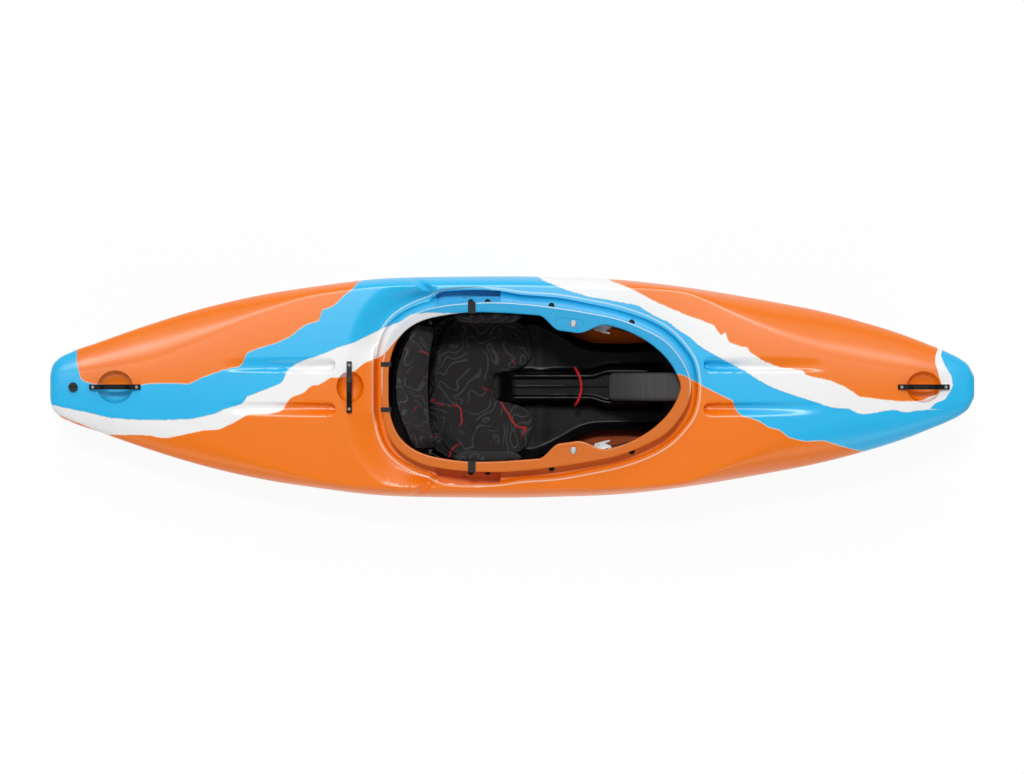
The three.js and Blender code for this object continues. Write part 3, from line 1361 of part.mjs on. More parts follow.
for (const [name, bar] of Object.entries(bars)) {
  place(`${name}_bar`, grabBar(), barMaterial, [bar.x, 0, bar.top], bar.turn);
  bar.feet.forEach(([x, y], i) => {
    const geometry = bolt(barBoltRadius, barBoltGrip, barBoltHeadRadius, barBoltHeadHeight, boltSteps);
    place(`${name}_bar_bolt_${i + 1}`, geometry, steelMaterial, [x, y, bar.top + barThickness + clearance]);
  });
}
place("drain_plug", drainPlug(), plugMaterial, [plugX, 0, plugTop]);
place("drain_gasket", drainGasket(), rubberMaterial, [plugX, 0, plugTop]);

placePair("seat_rail", seatRail(), railMaterial, [0, railPlace, 0]);
place("seat_pan", seatPan(), panMaterial);
place("seat_pad", seatPad(), fabricMaterial);
placePair("hip_plate", hipPlate(), panMaterial);
placePair("hip_pad", hipPad(), fabricMaterial);
placePair("band_pivot", bandPivot(), steelMaterial, [bandPivotX, 0, bandPivotZ]);
place("backband_shell", bandShell(), panMaterial);
place("backband_pad", bandPad(), fabricMaterial);

const braceAt = [braceChord.x, braceChord.y, rimHeight(braceChord.x)];
placePair("thigh_brace", thighBrace(), panMaterial, braceAt, braceChord.turn, rimTilt);
placePair("thigh_pad", thighPad(), foamMaterial, braceAt, braceChord.turn, rimTilt);
const ratchetAt = [ratchetChord.x, ratchetChord.y, rimHeight(ratchetChord.x)];
const pinAt = fromChord(ratchetChord, [...ratchetPinPlace, -ratchetDrop]);
placePair("ratchet_base", ratchetBase(), steelMaterial, ratchetAt, ratchetChord.turn, rimTilt);
placePair("ratchet_pin", ratchetPin(), steelMaterial, pinAt, ratchetChord.turn, rimTilt);
placePair("ratchet_lever", ratchetLever(), steelMaterial, pinAt, ratchetChord.turn, rimTilt);
placePair("ladder_strap", ladderStrap(), webbingMaterial);

const boltNames = ["hip_bolt_rear", "hip_bolt_front", "thigh_bolt", "guide_bolt", "hook_bolt"];
sideBoltPlaces().forEach(({ x, y, z, tilt }, i) => {
  const headRadius = boltNames[i] === "hook_bolt" ? hookBoltHeadRadius : sideBoltHeadRadius;
  const geometry = bolt(sideBoltRadius, sideBoltGrip, headRadius, sideBoltHeadHeight, boltSteps + 2);
  placePair(boltNames[i], geometry, steelMaterial, [x, y, z], 0, tilt);
});
placePair("side_webbing", sideWebbing(), webbingMaterial);
placePair("rear_webbing", rearWebbing(), webbingMaterial);
place("console_cord", consoleCord(), cordMaterial);
place("front_pillar", frontPillar(), foamMaterial);
place("rear_pillar", rearPillar(room), foamMaterial);
place("footrest_plate", footPlate(), panMaterial);
place("footrest_foam", footFoam(), foamMaterial);
placePair("footrest_rail", footRail(), railMaterial);
placePair("footrest_guide", footGuide(room), panMaterial);

export default kayak;
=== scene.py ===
"""Looks of a whitewater kayak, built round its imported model."""

import math

import bmesh
import bpy
import numpy as np
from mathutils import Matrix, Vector


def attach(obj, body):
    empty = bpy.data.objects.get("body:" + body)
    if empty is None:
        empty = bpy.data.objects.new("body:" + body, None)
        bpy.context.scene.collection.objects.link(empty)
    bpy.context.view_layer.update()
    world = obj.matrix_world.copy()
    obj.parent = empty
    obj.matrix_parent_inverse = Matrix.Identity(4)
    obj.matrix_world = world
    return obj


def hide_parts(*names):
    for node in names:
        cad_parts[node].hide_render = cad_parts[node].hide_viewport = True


bl_info = {
    "name": "Whitewater kayak",
    "version": (1, 0, 0),
    "blender": (4, 5, 0),
    "location": "View3D > Sidebar > Kayak",
    "description": "Builds the shell, the cockpit outfitting and the stage of a whitewater kayak",
    "category": "Object",
}

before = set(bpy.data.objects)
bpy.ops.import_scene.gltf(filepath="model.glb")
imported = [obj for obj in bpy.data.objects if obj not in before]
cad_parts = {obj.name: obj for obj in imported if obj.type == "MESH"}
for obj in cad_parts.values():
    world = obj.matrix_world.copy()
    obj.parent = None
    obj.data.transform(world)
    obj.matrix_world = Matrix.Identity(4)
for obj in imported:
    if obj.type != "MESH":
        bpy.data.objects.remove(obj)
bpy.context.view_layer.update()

MM = 0.001

# Sizes of the shell, in millimetres
HULL_LENGTH = 2690
HULL_BEAM = 648
DECK_HEIGHT = 340
WALL = 5
DECK_CROWN = 12
CHINE_LIFT = 4
CHINE_SHARE = 0.74
FLAT_SHARE = 0.6
FLARE_SHARE = 0.45
RIM_LENGTH = 900
RIM_CENTRE = 73
RIM_REAR_HEIGHT = 262
RIM_RISE = 90
SIDE_DECK = 77
FLANGE = 7
FLANGE_ROUND = 2.4
NECK_HEIGHT = 40
HOOK_REACH = 38
HOOK_LENGTH = 198
HOOK_PLACE = 108
POCKET_REAR = -218
POCKET_LENGTH = 189
POCKET_DEPTH = 8
TROUGH_DRAFT = 5
GROOVE_OFFSET = 66
GROOVE_HALF_WIDTH = 22
GROOVE_DEPTH = 20
GROOVE_END = 24
GROOVE_WALL = (-1, -0.6)
GROOVE_SLOPE = (-0.15, 0.9)
STERN_GROOVE = (-835, -535)
BOW_GROOVE = (584, 910)
BOWL_DEPTH = 36
BOSS_RADIUS = 11
BOSS_HEIGHT = 2.5
BOSS_EDGE = 0.8
BAR_FOOT = 64
PLUG_BOSS_RADIUS = 16
HALF_LENGTH = HULL_LENGTH / 2
HALF_BEAM = HULL_BEAM / 2
RIM_HALF_LENGTH = RIM_LENGTH / 2
RIM_HALF_WIDTH = HALF_BEAM - SIDE_DECK
RIM_REAR = RIM_CENTRE - RIM_HALF_LENGTH
RIM_SLOPE = RIM_RISE / RIM_LENGTH
TROUGH_FLOOR = -FLANGE - NECK_HEIGHT
STERN_BAR_X = 191 - HALF_LENGTH
BOW_BAR_X = HALF_LENGTH - 148
REAR_BAR_X = RIM_REAR - 93
PLUG_X = 69 - HALF_LENGTH

# Stations, stern to bow: place, half beam, keel, sheer, deck and deck crease, as shares
STATIONS = np.array([
    [-1.0, 0.12, 0.5, 0.56, 0.6, 0.5],
    [-0.996, 0.19, 0.47, 0.56, 0.625, 0.48],
    [-0.985, 0.245, 0.44, 0.56, 0.645, 0.45],
    [-0.955, 0.315, 0.4, 0.556, 0.655, 0.42],
    [-0.9, 0.397, 0.345, 0.55, 0.662, 0.4],
    [-0.804, 0.538, 0.255, 0.54, 0.675, 0.42],
    [-0.675, 0.704, 0.14, 0.52, 0.692, 0.585],
    [-0.545, 0.83, 0.055, 0.5, 0.71, 0.78],
    [-0.415, 0.915, 0.012, 0.485, 0.73, 0.9],
    [-0.285, 0.978, 0, 0.475, 0.755, 0.91],
    [-0.156, 0.996, 0, 0.475, 0.78, 0.905],
    [0, 1, 0, 0.48, 0.805, 0.905],
    [0.104, 0.991, 0, 0.49, 0.83, 0.905],
    [0.233, 0.969, 0.004, 0.51, 0.865, 0.915],
    [0.363, 0.91, 0.035, 0.55, 0.92, 0.94],
    [0.493, 0.825, 0.105, 0.6, 0.965, 0.75],
    [0.573, 0.765, 0.17, 0.635, 0.98, 0.594],
    [0.664, 0.69, 0.26, 0.68, 0.985, 0.443],
    [0.752, 0.596, 0.365, 0.73, 0.985, 0.37],
    [0.85, 0.468, 0.51, 0.79, 0.985, 0.33],
    [0.904, 0.381, 0.6, 0.825, 0.983, 0.33],
    [0.947, 0.305, 0.677, 0.85, 0.978, 0.35],
    [0.973, 0.247, 0.725, 0.865, 0.968, 0.38],
    [0.99, 0.184, 0.765, 0.875, 0.955, 0.42],
    [1.0, 0.1, 0.82, 0.88, 0.93, 0.5],
])
FLANGE_SHARES = [
    (-1, 0), (-1, 0.2), (-0.985, 0.37), (-0.952, 0.571), (-0.887, 0.741), (-0.758, 0.888), (-0.6, 0.96),
    (-0.42, 0.992), (-0.241, 1), (-0.047, 0.976), (0.147, 0.933), (0.341, 0.876), (0.535, 0.802),
    (0.729, 0.659), (0.839, 0.541), (0.922, 0.376), (0.98, 0.19), (1, 0),
]
MOUTH_SHARES = [
    (-0.952, 0), (-0.95, 0.2), (-0.93, 0.4), (-0.887, 0.571), (-0.822, 0.694), (-0.725, 0.788),
    (-0.564, 0.854), (-0.4, 0.881), (-0.241, 0.875), (-0.047, 0.852), (0.147, 0.818), (0.341, 0.766),
    (0.535, 0.694), (0.664, 0.594), (0.76, 0.48), (0.85, 0.32), (0.905, 0.16), (0.932, 0),
]
TROUGH_SHARES = [
    (-1.05, 0), (-1.048, 0.3), (-1.03, 0.5), (-1.0, 0.66), (-0.95, 0.8), (-0.87, 0.92), (-0.76, 1.02),
    (-0.68, 1.07), (-0.62, 1.135), (-0.54, 1.155), (-0.42, 1.165), (-0.241, 1.155), (-0.09, 1.115),
    (0.147, 1.082), (0.341, 1.02), (0.535, 0.945), (0.729, 0.823), (0.858, 0.69), (0.95, 0.53),
    (1.03, 0.31), (1.058, 0),
]
# Section of the trough's floor, as pairs of rise and distance inside the lip
TROUGH_SECTION = [(0, 36), (-1.4, 22), (-2.2, 13), (-1.4, 9), (1.2, 6), (6, 3), (14, 0)]
LIP_RADIUS = 6
LIP_TURNS = (0, 18, 36, 52, 66, 76)
LIP_STEP = 0.25
LIP_ABOVE = 60
DISH_DEPTH = 15
DISH_CORNER = 12
DISH_CORNER_RAMP = (70, 130)
DISH_END = (-236, -214)
DISH_REACH = (-400, 86), (-330, 84), (-270, 46), (-212, 20)
DISH_SPAN = (-520, -190)
DISH_HALF_WIDTH = 330
DRAIN_ENDS = (-214, 260), (-282, 318)
DRAIN_DEPTH = 15
DRAIN_HALF_WIDTH = 14
DRAIN_ROUND = 0.8
CHANNEL_DEPTH = 13
CHANNEL_GAP = 17
CHANNEL_END = 4
RECESS_SIZE = (84, 28, 1.5)
RECESS_SHIFT = 12
RECESS_DRAFT = 0.8
RECESS_TOP = 20
RECESS_STEPS = 13
HOOK_TURN = 0.1313
HOOK_RAMPS = (0.3, 0.45)
FLANGE_INSET = 3
HOLE_REACH = 20
BAR_HOLE = 3.3
PLUG_HOLE = 9.3
# Steps round the bottom, side, shoulder and deck of a section, outside and in the room within
FINE_STEPS = (6, 14, 16, 58)
ROOM_STEPS = (3, 6, 8, 44)
ROOM_STATION_STEP = 20
DISH_STATIONS = (-300, -196, 4.0), (-480, -300, 8.0)
LEAST_STEP = 0.8
END_SHARES = np.array([0.002, 0.004, 0.008, 0.012, 0.018, 0.026])
ABOVE = 900

# Sizes of the seat pan, in millimetres
PAN_REAR = -240
PAN_FRONT = 520
PAN_FLOOR = 15.6
PAN_THICKNESS = 4
PAN_HALF = 207.8
PAN_LIP = 28
SEAT_TRAVEL = 30
SEAT_OFF = 1.2
RIDGE_REAR = -38
RIDGE_STEP = 45
RIDGE_FRONT = 405
RIDGE_LOW = 52
RIDGE_HIGH = 92
RIDGE_TOP = 38
RIDGE_FOOT = 51
RIDGE_SPREAD = 14
RIDGE_CHANNEL = 10
RIDGE_RIB = 3
PILLAR_REAR = 289
PILLAR_WIDTH = 83
SADDLE = (62, 84, 132)
SADDLE_HEIGHT = 3
PAN_EDGE = 20
PAN_REAR_RAMP = 40
PAN_STEP = 8.0
PAN_COLUMNS = 72
UNDER_SHARE = 0.92
SOCKET_GAP = 0.5
SOCKET_LOW = -10
SOCKET_HIGH = 300
SOCKET_AHEAD = 20
PAN_SHARES = np.array([[0, 0.8], [0.035, 0.9], [0.087, 0.99], [0.26, 1], [0.39, 1], [0.45, 0.93],
                       [0.52, 0.8], [0.58, 0.68], [0.65, 0.61], [0.74, 0.6], [0.87, 0.62], [1, 0.56]])
BOWL_SHARES = [(0.2, -0.998), (0.4, -0.98), (0.56, -0.93), (0.7, -0.85), (0.8, -0.72), (0.88, -0.55),
               (0.93, -0.36), (0.96, -0.2), (1, 0)]
BOWL_TOP = 20
BOWLS = [((52.5, 48.5), STERN_BAR_X), ((50, 46), BOW_BAR_X), ((41, 46.5), REAR_BAR_X + 3)]

# Edges of the colour bands as places along and across the boat, in millimetres
STERN_TOP_EDGE = [
    (-1345, 110), (-1282, 100), (-1274, 92), (-1264, 68), (-1261, 35), (-1250, 19), (-1221, 9),
    (-1154, 4), (-1080, 5), (-1052, 11), (-994, 11), (-936, 9), (-907, 24), (-864, 41), (-835, 51),
    (-806, 57), (-782, 62), (-776, 92), (-762, 103), (-718, 118), (-680, 129), (-640, 148), (-616, 170),
    (-593, 183), (-558, 193), (-551, 224), (-515, 237), (-486, 266), (-465, 281), (-442, 308),
    (-400, 345),
]
STERN_MIDDLE_EDGE = [
    (-1345, -50), (-1314, -59), (-1227, -77), (-1169, -91), (-1082, -97), (-994, -97), (-936, -94),
    (-864, -80), (-835, -65), (-782, -51), (-771, -30), (-727, -13), (-689, 2), (-660, 13), (-657, 42),
    (-631, 65), (-602, 77), (-544, 97), (-500, 115), (-457, 129), (-413, 150), (-369, 173), (-326, 188),
    (-291, 211), (-238, 216), (-195, 214), (-140, 214), (-112, 211), (-98, 150), (-60, 20), (1345, 20),
]
STERN_LOWER_EDGE = [
    (-1345, -76), (-1314, -84), (-1184, -138), (-1053, -141), (-1009, -150), (-951, -138), (-893, -126),
    (-849, -124), (-806, -103), (-762, -77), (-718, -80), (-666, -71), (-646, -33), (-602, -16),
    (-582, 4), (-553, 7), (-529, 28), (-486, 28), (-471, 39), (-451, 48), (-427, 71), (-384, 86),
    (-361, 103), (-340, 129), (-318, 152), (-280, 150), (-240, 60), (-150, 20), (1345, 20),
]
BOW_TOP_EDGE = [
    (230, 345), (291, 310), (343, 289), (430, 243), (518, 205), (547, 196), (590, 179), (622, 161),
    (611, 147), (628, 132), (663, 118), (686, 115), (698, 97), (736, 74), (779, 57), (846, 48),
    (858, 33), (925, 19), (968, 1), (1012, -28), (1070, -36), (1128, -42), (1186, -41), (1216, -31),
    (1345, -20),
]
BOW_MIDDLE_EDGE = [
    (-35, 400), (52, 345), (96, 310), (169, 281), (227, 263), (285, 254), (372, 237), (416, 208),
    (460, 188), (489, 164), (518, 147), (547, 121), (590, 95), (634, 71), (678, 48), (721, 19),
    (765, -4), (838, -28), (881, -42), (925, -57), (983, -63), (1006, -77), (1041, -77), (1085, -68),
    (1114, -65), (1143, -74), (1172, -68), (1216, -65), (1345, -60),
]
BOW_LOWER_EDGE = [
    (-35, 20), (460, 30), (489, 39), (518, 25), (547, 10), (582, -10), (619, -28), (643, -39),
    (648, -62), (669, -83), (712, -95), (750, -118), (779, -124), (808, -147), (852, -158), (910, -156),
    (954, -170), (997, -182), (1035, -190), (1345, -240),
]
# The same at the tip of the bow, as places across and along
TIP_WHITE_EDGE = [
    (-350, 1420), (-66, 1400), (-62, 1172), (-30, 1210), (-19, 1239), (10, 1248), (30, 1242),
    (52, 1236), (72, 1230), (92, 1233), (112, 1240), (140, 1252),
]
TIP_BLUE_EDGE = [
    (-350, 1420), (-68, 1400), (-65, 1212), (-48, 1230), (-36, 1259), (-13, 1274), (4, 1282),
    (33, 1277), (62, 1259), (92, 1248), (106, 1253), (140, 1262),
]

# Paint, with places in metres and steepness per metre
PAINT_LOW = (-1.35, -0.42)
PAINT_SIZE = (2.7, 0.84)
TIP_LOW = (-0.35, -1.35)
TIP_SIZE = (0.7, 2.7)
STERN_TIP = (-1.2665, -0.052)
BANDS_MEET = -0.035
OUTLINE_POINTS = 61
SHARP = 900
EDGE_LINE = (250, 224, 192)
EDGE_LINE_THINNESS = 420
EDGE_LINE_SHARE = 0.55
# Painted highlight: pale lines along the trough's lip and along the flange's outer edge on the port side
HIGHLIGHT_PALE = (0.95, 0.93, 0.8, 1)
HIGHLIGHT_SHARE = 0.42
HIGHLIGHT_LIP = 0.0015
HIGHLIGHT_EDGE = -0.0026
CLOUD_TONE = (0.88, 0.86, 0.9)
# Painted shade: share of its colour that the rim's flange top keeps
FLANGE_SHADE = (0.74, 0.76, 0.8)
# Window of the inside that keeps its orange; outside it the inside is painted shade
UNSHADED_REAR, UNSHADED_FRONT, UNSHADED_SIDE = 0.12, 0.55, 0.09
COVER_REAR, COVER_FRONT, COVER_SIDE, COVER_MIDDLE = -0.04, 0.056, 0.06, 0.13
COVER_SHARP = 300
GRAIN = 900
GRAIN_DEPTH = 0.00018
CONTOUR_STEP = 0.002
CONTOUR_BLUR = 2.5

# Cushions and stage
CUSHION_PRESSURE = 4.0
CUSHION_FRAMES = 20
CUSHION_TENSION = 15
CUSHION_BENDING = 4
SOFTENING = (0.5, 4)
SUN_ANGLE = math.radians(9)
SUN_TURN = (math.radians(-22), math.radians(-4), 0)
CAMERA_SHIFT = (0.004, 0, 0.2)
FLOOR_GAP = 0.001
GROUND = 30
LAMP_TARGET = (0, 0, 0.2)
LAMP_WIDTH = 6.0
SIDES = ("port", "starboard")


def curve_values(rows, column, places):
    """Values of one column on the smooth curve through the rows, which never swings past them."""
    x = rows[:, 0]
    y = rows[:, column]
    gap = np.diff(x)
    rise = np.diff(y) / gap
    slope = np.empty(len(x))
    slope[0], slope[-1] = rise[0], rise[-1]
    mean = (rise[:-1] * gap[1:] + rise[1:] * gap[:-1]) / (gap[:-1] + gap[1:])
    least = np.minimum(np.minimum(np.abs(rise[:-1]), np.abs(rise[1:])), np.abs(mean) / 2)
    slope[1:-1] = (np.sign(rise[:-1]) + np.sign(rise[1:])) * least
    places = np.asarray(places, dtype=float)
    row = np.clip(np.searchsorted(x, places, side="left") - 1, 0, len(x) - 2)
    t = np.clip((places - x[row]) / gap[row], 0, 1)
    leave, arrive = slope[row] * gap[row], slope[row + 1] * gap[row]
    step = y[row + 1] - y[row]
    return y[row] + t * (leave + t * (3 * step - 2 * leave - arrive + t * (leave + arrive - 2 * step)))


def station(column, x):
    """Share of a station column at a place in millimetres."""
    return curve_values(STATIONS, column, np.asarray(x, dtype=float) / HALF_LENGTH)


def deck_at(x):
    """Height of the deck on the centreline."""
    return station(4, x) * DECK_HEIGHT


def rim_height(x):
    """Height of the rim's plane."""
    return RIM_REAR_HEIGHT + (x - RIM_REAR) * RIM_SLOPE


def smoothstep(x, low, high):
    """Smooth ramp from 0 at low to 1 at high."""
    t = np.clip((x - low) / (high - low), 0, 1)
    return t * t * (3 - 2 * t)


def closed_curve(points, count):
    """Evenly spaced points on the centripetal curve through a closed row of points."""
    points = np.asarray(points, dtype=float)
    total = len(points)
    dense = []
    for i in range(total):
        p = [points[(i + k) % total] for k in (-1, 0, 1, 2)]
        gaps = [max(1e-4, np.linalg.norm(p[k + 1] - p[k]) ** 0.5) for k in range(3)]
        leave = (p[1] - p[0]) / gaps[0] - (p[2] - p[0]) / (gaps[0] + gaps[1]) + (p[2] - p[1]) / gaps[1]
        arrive = (p[2] - p[1]) / gaps[1] - (p[3] - p[1]) / (gaps[1] + gaps[2]) + (p[3] - p[2]) / gaps[2]
        leave, arrive = leave * gaps[1], arrive * gaps[1]
        for t in np.arange(24) / 24:
            bend = 2 * (p[1] - p[2]) + leave + arrive
            dense.append(p[1] + t * (leave + t * (3 * (p[2] - p[1]) - 2 * leave - arrive + t * bend)))
    dense = np.array(dense + [dense[0]])
    along = np.concatenate([[0], np.cumsum(np.linalg.norm(np.diff(dense, axis=0), axis=1))])
    wanted = np.arange(count) / count * along[-1]
    return np.stack([np.interp(wanted, along, dense[:, k]) for k in range(2)], axis=1)


def rim_outline(shares, count=240):
    """Outline round the cockpit, counter-clockwise from the rear."""
    port = [(RIM_CENTRE + a * RIM_HALF_LENGTH, b * RIM_HALF_WIDTH) for a, b in shares]
    starboard = [(x, -y) for x, y in port[1:-1]]
    return closed_curve([port[0], *starboard, *reversed(port[1:])], count)


def grown(outline, distance):
    """Counter-clockwise outline moved outwards."""
    along = np.roll(outline, -1, axis=0) - np.roll(outline, 1, axis=0)
    along /= np.linalg.norm(along, axis=1)[:, None]
    return outline + distance * np.stack([along[:, 1], -along[:, 0]], axis=1)


def mouth_outline(outline):
    """Neck's inside with a thigh hook drawn in at each side."""
    rear = HOOK_PLACE - HOOK_LENGTH / 2 + RIM_CENTRE
    front = rear + HOOK_LENGTH
    ramp = smoothstep(outline[:, 0], rear, rear + HOOK_RAMPS[0] * HOOK_LENGTH)
    ramp = ramp * (1 - smoothstep(outline[:, 0], front - HOOK_RAMPS[1] * HOOK_LENGTH, front))
    across = outline[:, 1] - np.sign(outline[:, 1]) * HOOK_REACH * ramp
    return np.stack([outline[:, 0], across], axis=1)


def linked(name, data):
    """New object of some data."""
    made = bpy.data.objects.new(name, data)
    bpy.context.collection.objects.link(made)
    return made


def mesh_object(name, vertices, faces, scale=MM):
    """New object of a mesh."""
    mesh = bpy.data.meshes.new(name)
    places = [tuple(float(c) * scale for c in vertex) for vertex in vertices]
    mesh.from_pydata(places, [], [tuple(map(int, face)) for face in faces])
    mesh.validate()
    return linked(name, mesh)


def ring_faces(rings, count, closed=False):
    """Quads between rings that follow each other, and from the last to the first where closed."""
    faces = []
    for ring in range(rings if closed else rings - 1):
        low, high = ring * count, (ring + 1) % rings * count
        for i in range(count):
            j = (i + 1) % count
            faces.append((low + i, low + j, high + j, high + i))
    return faces


def outward(made):
    """Turns the faces of a closed mesh outwards."""
    work = bmesh.new()
    work.from_mesh(made.data)
    bmesh.ops.recalc_face_normals(work, faces=work.faces)
    if work.calc_volume(signed=True) < 0:
        bmesh.ops.reverse_faces(work, faces=work.faces)
    work.to_mesh(made.data)
    work.free()
    return made


def lofted(name, rings):
    """Closed body through rings of points."""
    count = len(rings[0])
    vertices = np.concatenate(rings)
    faces = ring_faces(len(rings), count)
    faces.append(tuple(range(count)))
    faces.append(tuple(range(len(vertices) - 1, len(vertices) - count - 1, -1)))
    return outward(mesh_object(name, vertices, faces))


def rim_rings(outline, levels):
    """Rings of an outline at (height off the rim's plane, growth) pairs."""
    rings = []
    for height, growth in levels:
        ring = grown(outline, growth) if growth else outline
        rings.append(np.column_stack([ring, rim_height(ring[:, 0]) + height]))
    return rings


def groove_at(x):
    """Depth of the deck grooves at a place, and the share of their width left at the round end."""
    def one(shallow, deep):
        past = (x - deep) * (1 if deep > shallow else -1)
        rise = np.clip((x - shallow) / (deep - shallow), 0, 1)
        left = np.sqrt(np.clip(1 - (past / GROOVE_END) ** 2, 0, 1))
        return np.where(past <= 0, rise, left > 0), np.where(past <= 0, 1, left)
    stern, bow = one(*STERN_GROOVE), one(*reversed(BOW_GROOVE))
    return GROOVE_DEPTH * np.maximum(stern[0], bow[0]), np.where(x < 0, stern[1], bow[1])


def port_half(outline):
    """Points of an outline on the centreline and to port of it."""
    return outline[outline[:, 1] >= -1e-6]


def dish_at(spots):
    """Depth of the dish behind the cockpit and of its drains, at places to port."""
    outline = np.roll(port_half(rim_outline(TROUGH_SHARES)), -1, axis=0)
    along = np.gradient(outline, axis=0)
    along /= np.linalg.norm(along, axis=1)[:, None]
    normal = np.stack([along[:, 1], -along[:, 0]], axis=1)
    gaps = np.linalg.norm(spots[:, None, :] - outline[None, :, :], axis=2)
    nearest = gaps.argmin(axis=1)
    side = np.sum((spots - outline[nearest]) * normal[nearest], axis=1)
    reach = np.interp(outline[nearest, 0], *zip(*DISH_REACH))
    away = np.where(side < 0, 0, gaps.min(axis=1)) / reach
    depth = DISH_DEPTH + DISH_CORNER * smoothstep(spots[:, 1], *DISH_CORNER_RAMP)
    dish = depth * (1 - smoothstep(away, 0, 1)) * (1 - smoothstep(spots[:, 0], *DISH_END))
    start, end = (np.array(point, dtype=float) for point in DRAIN_ENDS)
    run = end - start
    share = np.clip((spots - start) @ run / (run @ run), 0, 1.2)
    off = np.linalg.norm(spots - start - share[:, None] * run, axis=1) / DRAIN_HALF_WIDTH
    return np.maximum(dish, DRAIN_DEPTH * np.clip(1 - off, 0, 1) ** DRAIN_ROUND)


def relief(x, y):
    """How far the deck lies below its plain form: grooves, the dish behind the cockpit and its drains."""
    y = np.abs(y)
    deep, left = groove_at(x)
    across = (y - GROOVE_OFFSET) / (GROOVE_HALF_WIDTH * np.maximum(left, 0.05))
    drop = deep * smoothstep(across, *GROOVE_WALL) * (1 - smoothstep(across, *GROOVE_SLOPE))
    near = (x > DISH_SPAN[0]) & (x < DISH_SPAN[1]) & (y < DISH_HALF_WIDTH)
    if near.any():
        drop[near] = np.maximum(drop[near], dish_at(np.stack([x[near], y[near]], axis=1)))
    return drop


def deck_surface(x, y):
    """Height of the finished deck at places."""
    y = np.abs(y)
    beam = station(1, x) * HALF_BEAM
    crease = station(5, x) * beam
    sheer = station(3, x) * DECK_HEIGHT
    deck = deck_at(x)
    edge = deck - DECK_CROWN * crease / HALF_BEAM
    out = np.clip((y - crease) / (beam - crease), 0, 1)
    inner = edge + (deck - edge) * (1 - np.minimum(1, y / crease) ** 2)
    return np.where(y <= crease, inner, sheer + (edge - sheer) * np.sqrt(1 - out ** 2)) - relief(x, y)


def shell_ring(x, inset, fine):
    """Closed section of the shell moved inwards by the inset, and how much of the relief each point takes."""
    beam = float(station(1, x)) * HALF_BEAM
    side = beam - inset
    keel = float(station(2, x)) * DECK_HEIGHT + inset
    sheer = float(station(3, x)) * DECK_HEIGHT
    deck = float(deck_at(x)) - inset
    crease = float(station(5, x)) * beam - inset
    crease_height = deck - DECK_CROWN * crease / HALF_BEAM
    chine = CHINE_SHARE * beam - inset
    flare = keel + FLARE_SHARE * (sheer - keel)
    bottom_steps, side_steps, shoulder_steps, deck_steps = FINE_STEPS if fine else ROOM_STEPS
    half = []
    for i in range(bottom_steps):
        y = chine * i / bottom_steps
        half.append((y, keel + CHINE_LIFT * smoothstep(y, FLAT_SHARE * chine, chine), 0))
    for i in range(side_steps):
        t = i / side_steps
        a, b, c = (1 - t) ** 2, 2 * t * (1 - t), t * t
        half.append((a * chine + (b + c) * side, a * (keel + CHINE_LIFT) + b * flare + c * sheer, 0))
    for i in range(shoulder_steps):
        turn = i / shoulder_steps * math.pi / 2
        rise = math.sin(turn)
        half.append((crease + (side - crease) * math.cos(turn), sheer + (crease_height - sheer) * rise, rise))
    for i in range(deck_steps + 1):
        share = 1 - i / deck_steps
        half.append((crease * share, crease_height + (deck - crease_height) * (1 - share ** 2), 1))
    section = half + [(-y, z, take) for y, z, take in reversed(half[1:-1])]
    return np.array([(x, y, z, take) for y, z, take in section])


def shell_loft(name, inset, end_inset, step, fine):
    """Closed loft of the shell's sections."""
    limit = HALF_LENGTH - end_inset
    ends = HALF_LENGTH * (1 - END_SHARES)
    turns = np.arange(9) * GROOVE_END / 8
    grooves = [*(STERN_GROOVE[1] + turns), *(BOW_GROOVE[0] - turns)]
    places = list(np.linspace(-limit, limit, int(2 * limit / step) + 1))
    places += [x for span in DISH_STATIONS for x in np.arange(*span)]
    places += [*ends, *-ends, *grooves] if fine else grooves
    places = sorted(p for p in places if abs(p) <= limit)
    kept = [places[0]] + [b for a, b in zip(places, places[1:]) if b - a > LEAST_STEP]
    rings = np.array([shell_ring(x, inset, fine) for x in kept])
    points = rings.reshape(-1, 4)
    points[:, 2] -= points[:, 3] * relief(points[:, 0], points[:, 1])
    return lofted(name, list(rings[:, :, :3]))


def trough_body(outline):
    """Space of the trough over a floor that falls a little outwards, with a rounded lip at the deck."""
    levels = [(TROUGH_FLOOR + rise, -TROUGH_DRAFT - inside) for rise, inside in TROUGH_SECTION]
    rings = rim_rings(outline, levels)
    for turn in np.radians(LIP_TURNS):
        ring = grown(outline, LIP_RADIUS * (1 - math.cos(turn)))
        height = deck_surface(ring[:, 0], ring[:, 1]) - LIP_RADIUS * (1 - math.sin(turn))
        rings.append(np.column_stack([ring, np.maximum(height, rings[-1][:, 2] + LIP_STEP)]))
    rings.append(rings[-1] * [1, 1, 0] + [0, 0, DECK_HEIGHT + LIP_ABOVE])
    return lofted("trough", rings)


def upright(outline, low, high, growth=0):
    """Body between two heights off the rim's plane, over a grown outline."""
    return lofted("upright", rim_rings(outline, [(low, growth), (high, growth)]))


def pocket_slab(gap, inset, floor):
    """Box over the length of the side pockets, from a floor upwards."""
    rear, front = POCKET_REAR + inset - gap, POCKET_REAR + POCKET_LENGTH - inset + gap
    return slab((rear, -HULL_BEAM, floor), (front, HULL_BEAM, ABOVE))


def pocket_space(outline, growth, gap):
    """Space of the side pockets, grown by a gap."""
    low = TROUGH_FLOOR - gap - NECK_HEIGHT
    space = lofted("pockets", rim_rings(outline, [(low, -TROUGH_DRAFT), (DECK_HEIGHT, growth)]))
    floor = rim_height(POCKET_REAR) + TROUGH_FLOOR - POCKET_DEPTH - gap
    return combined(space, pocket_slab(gap, 0, floor), "INTERSECT")


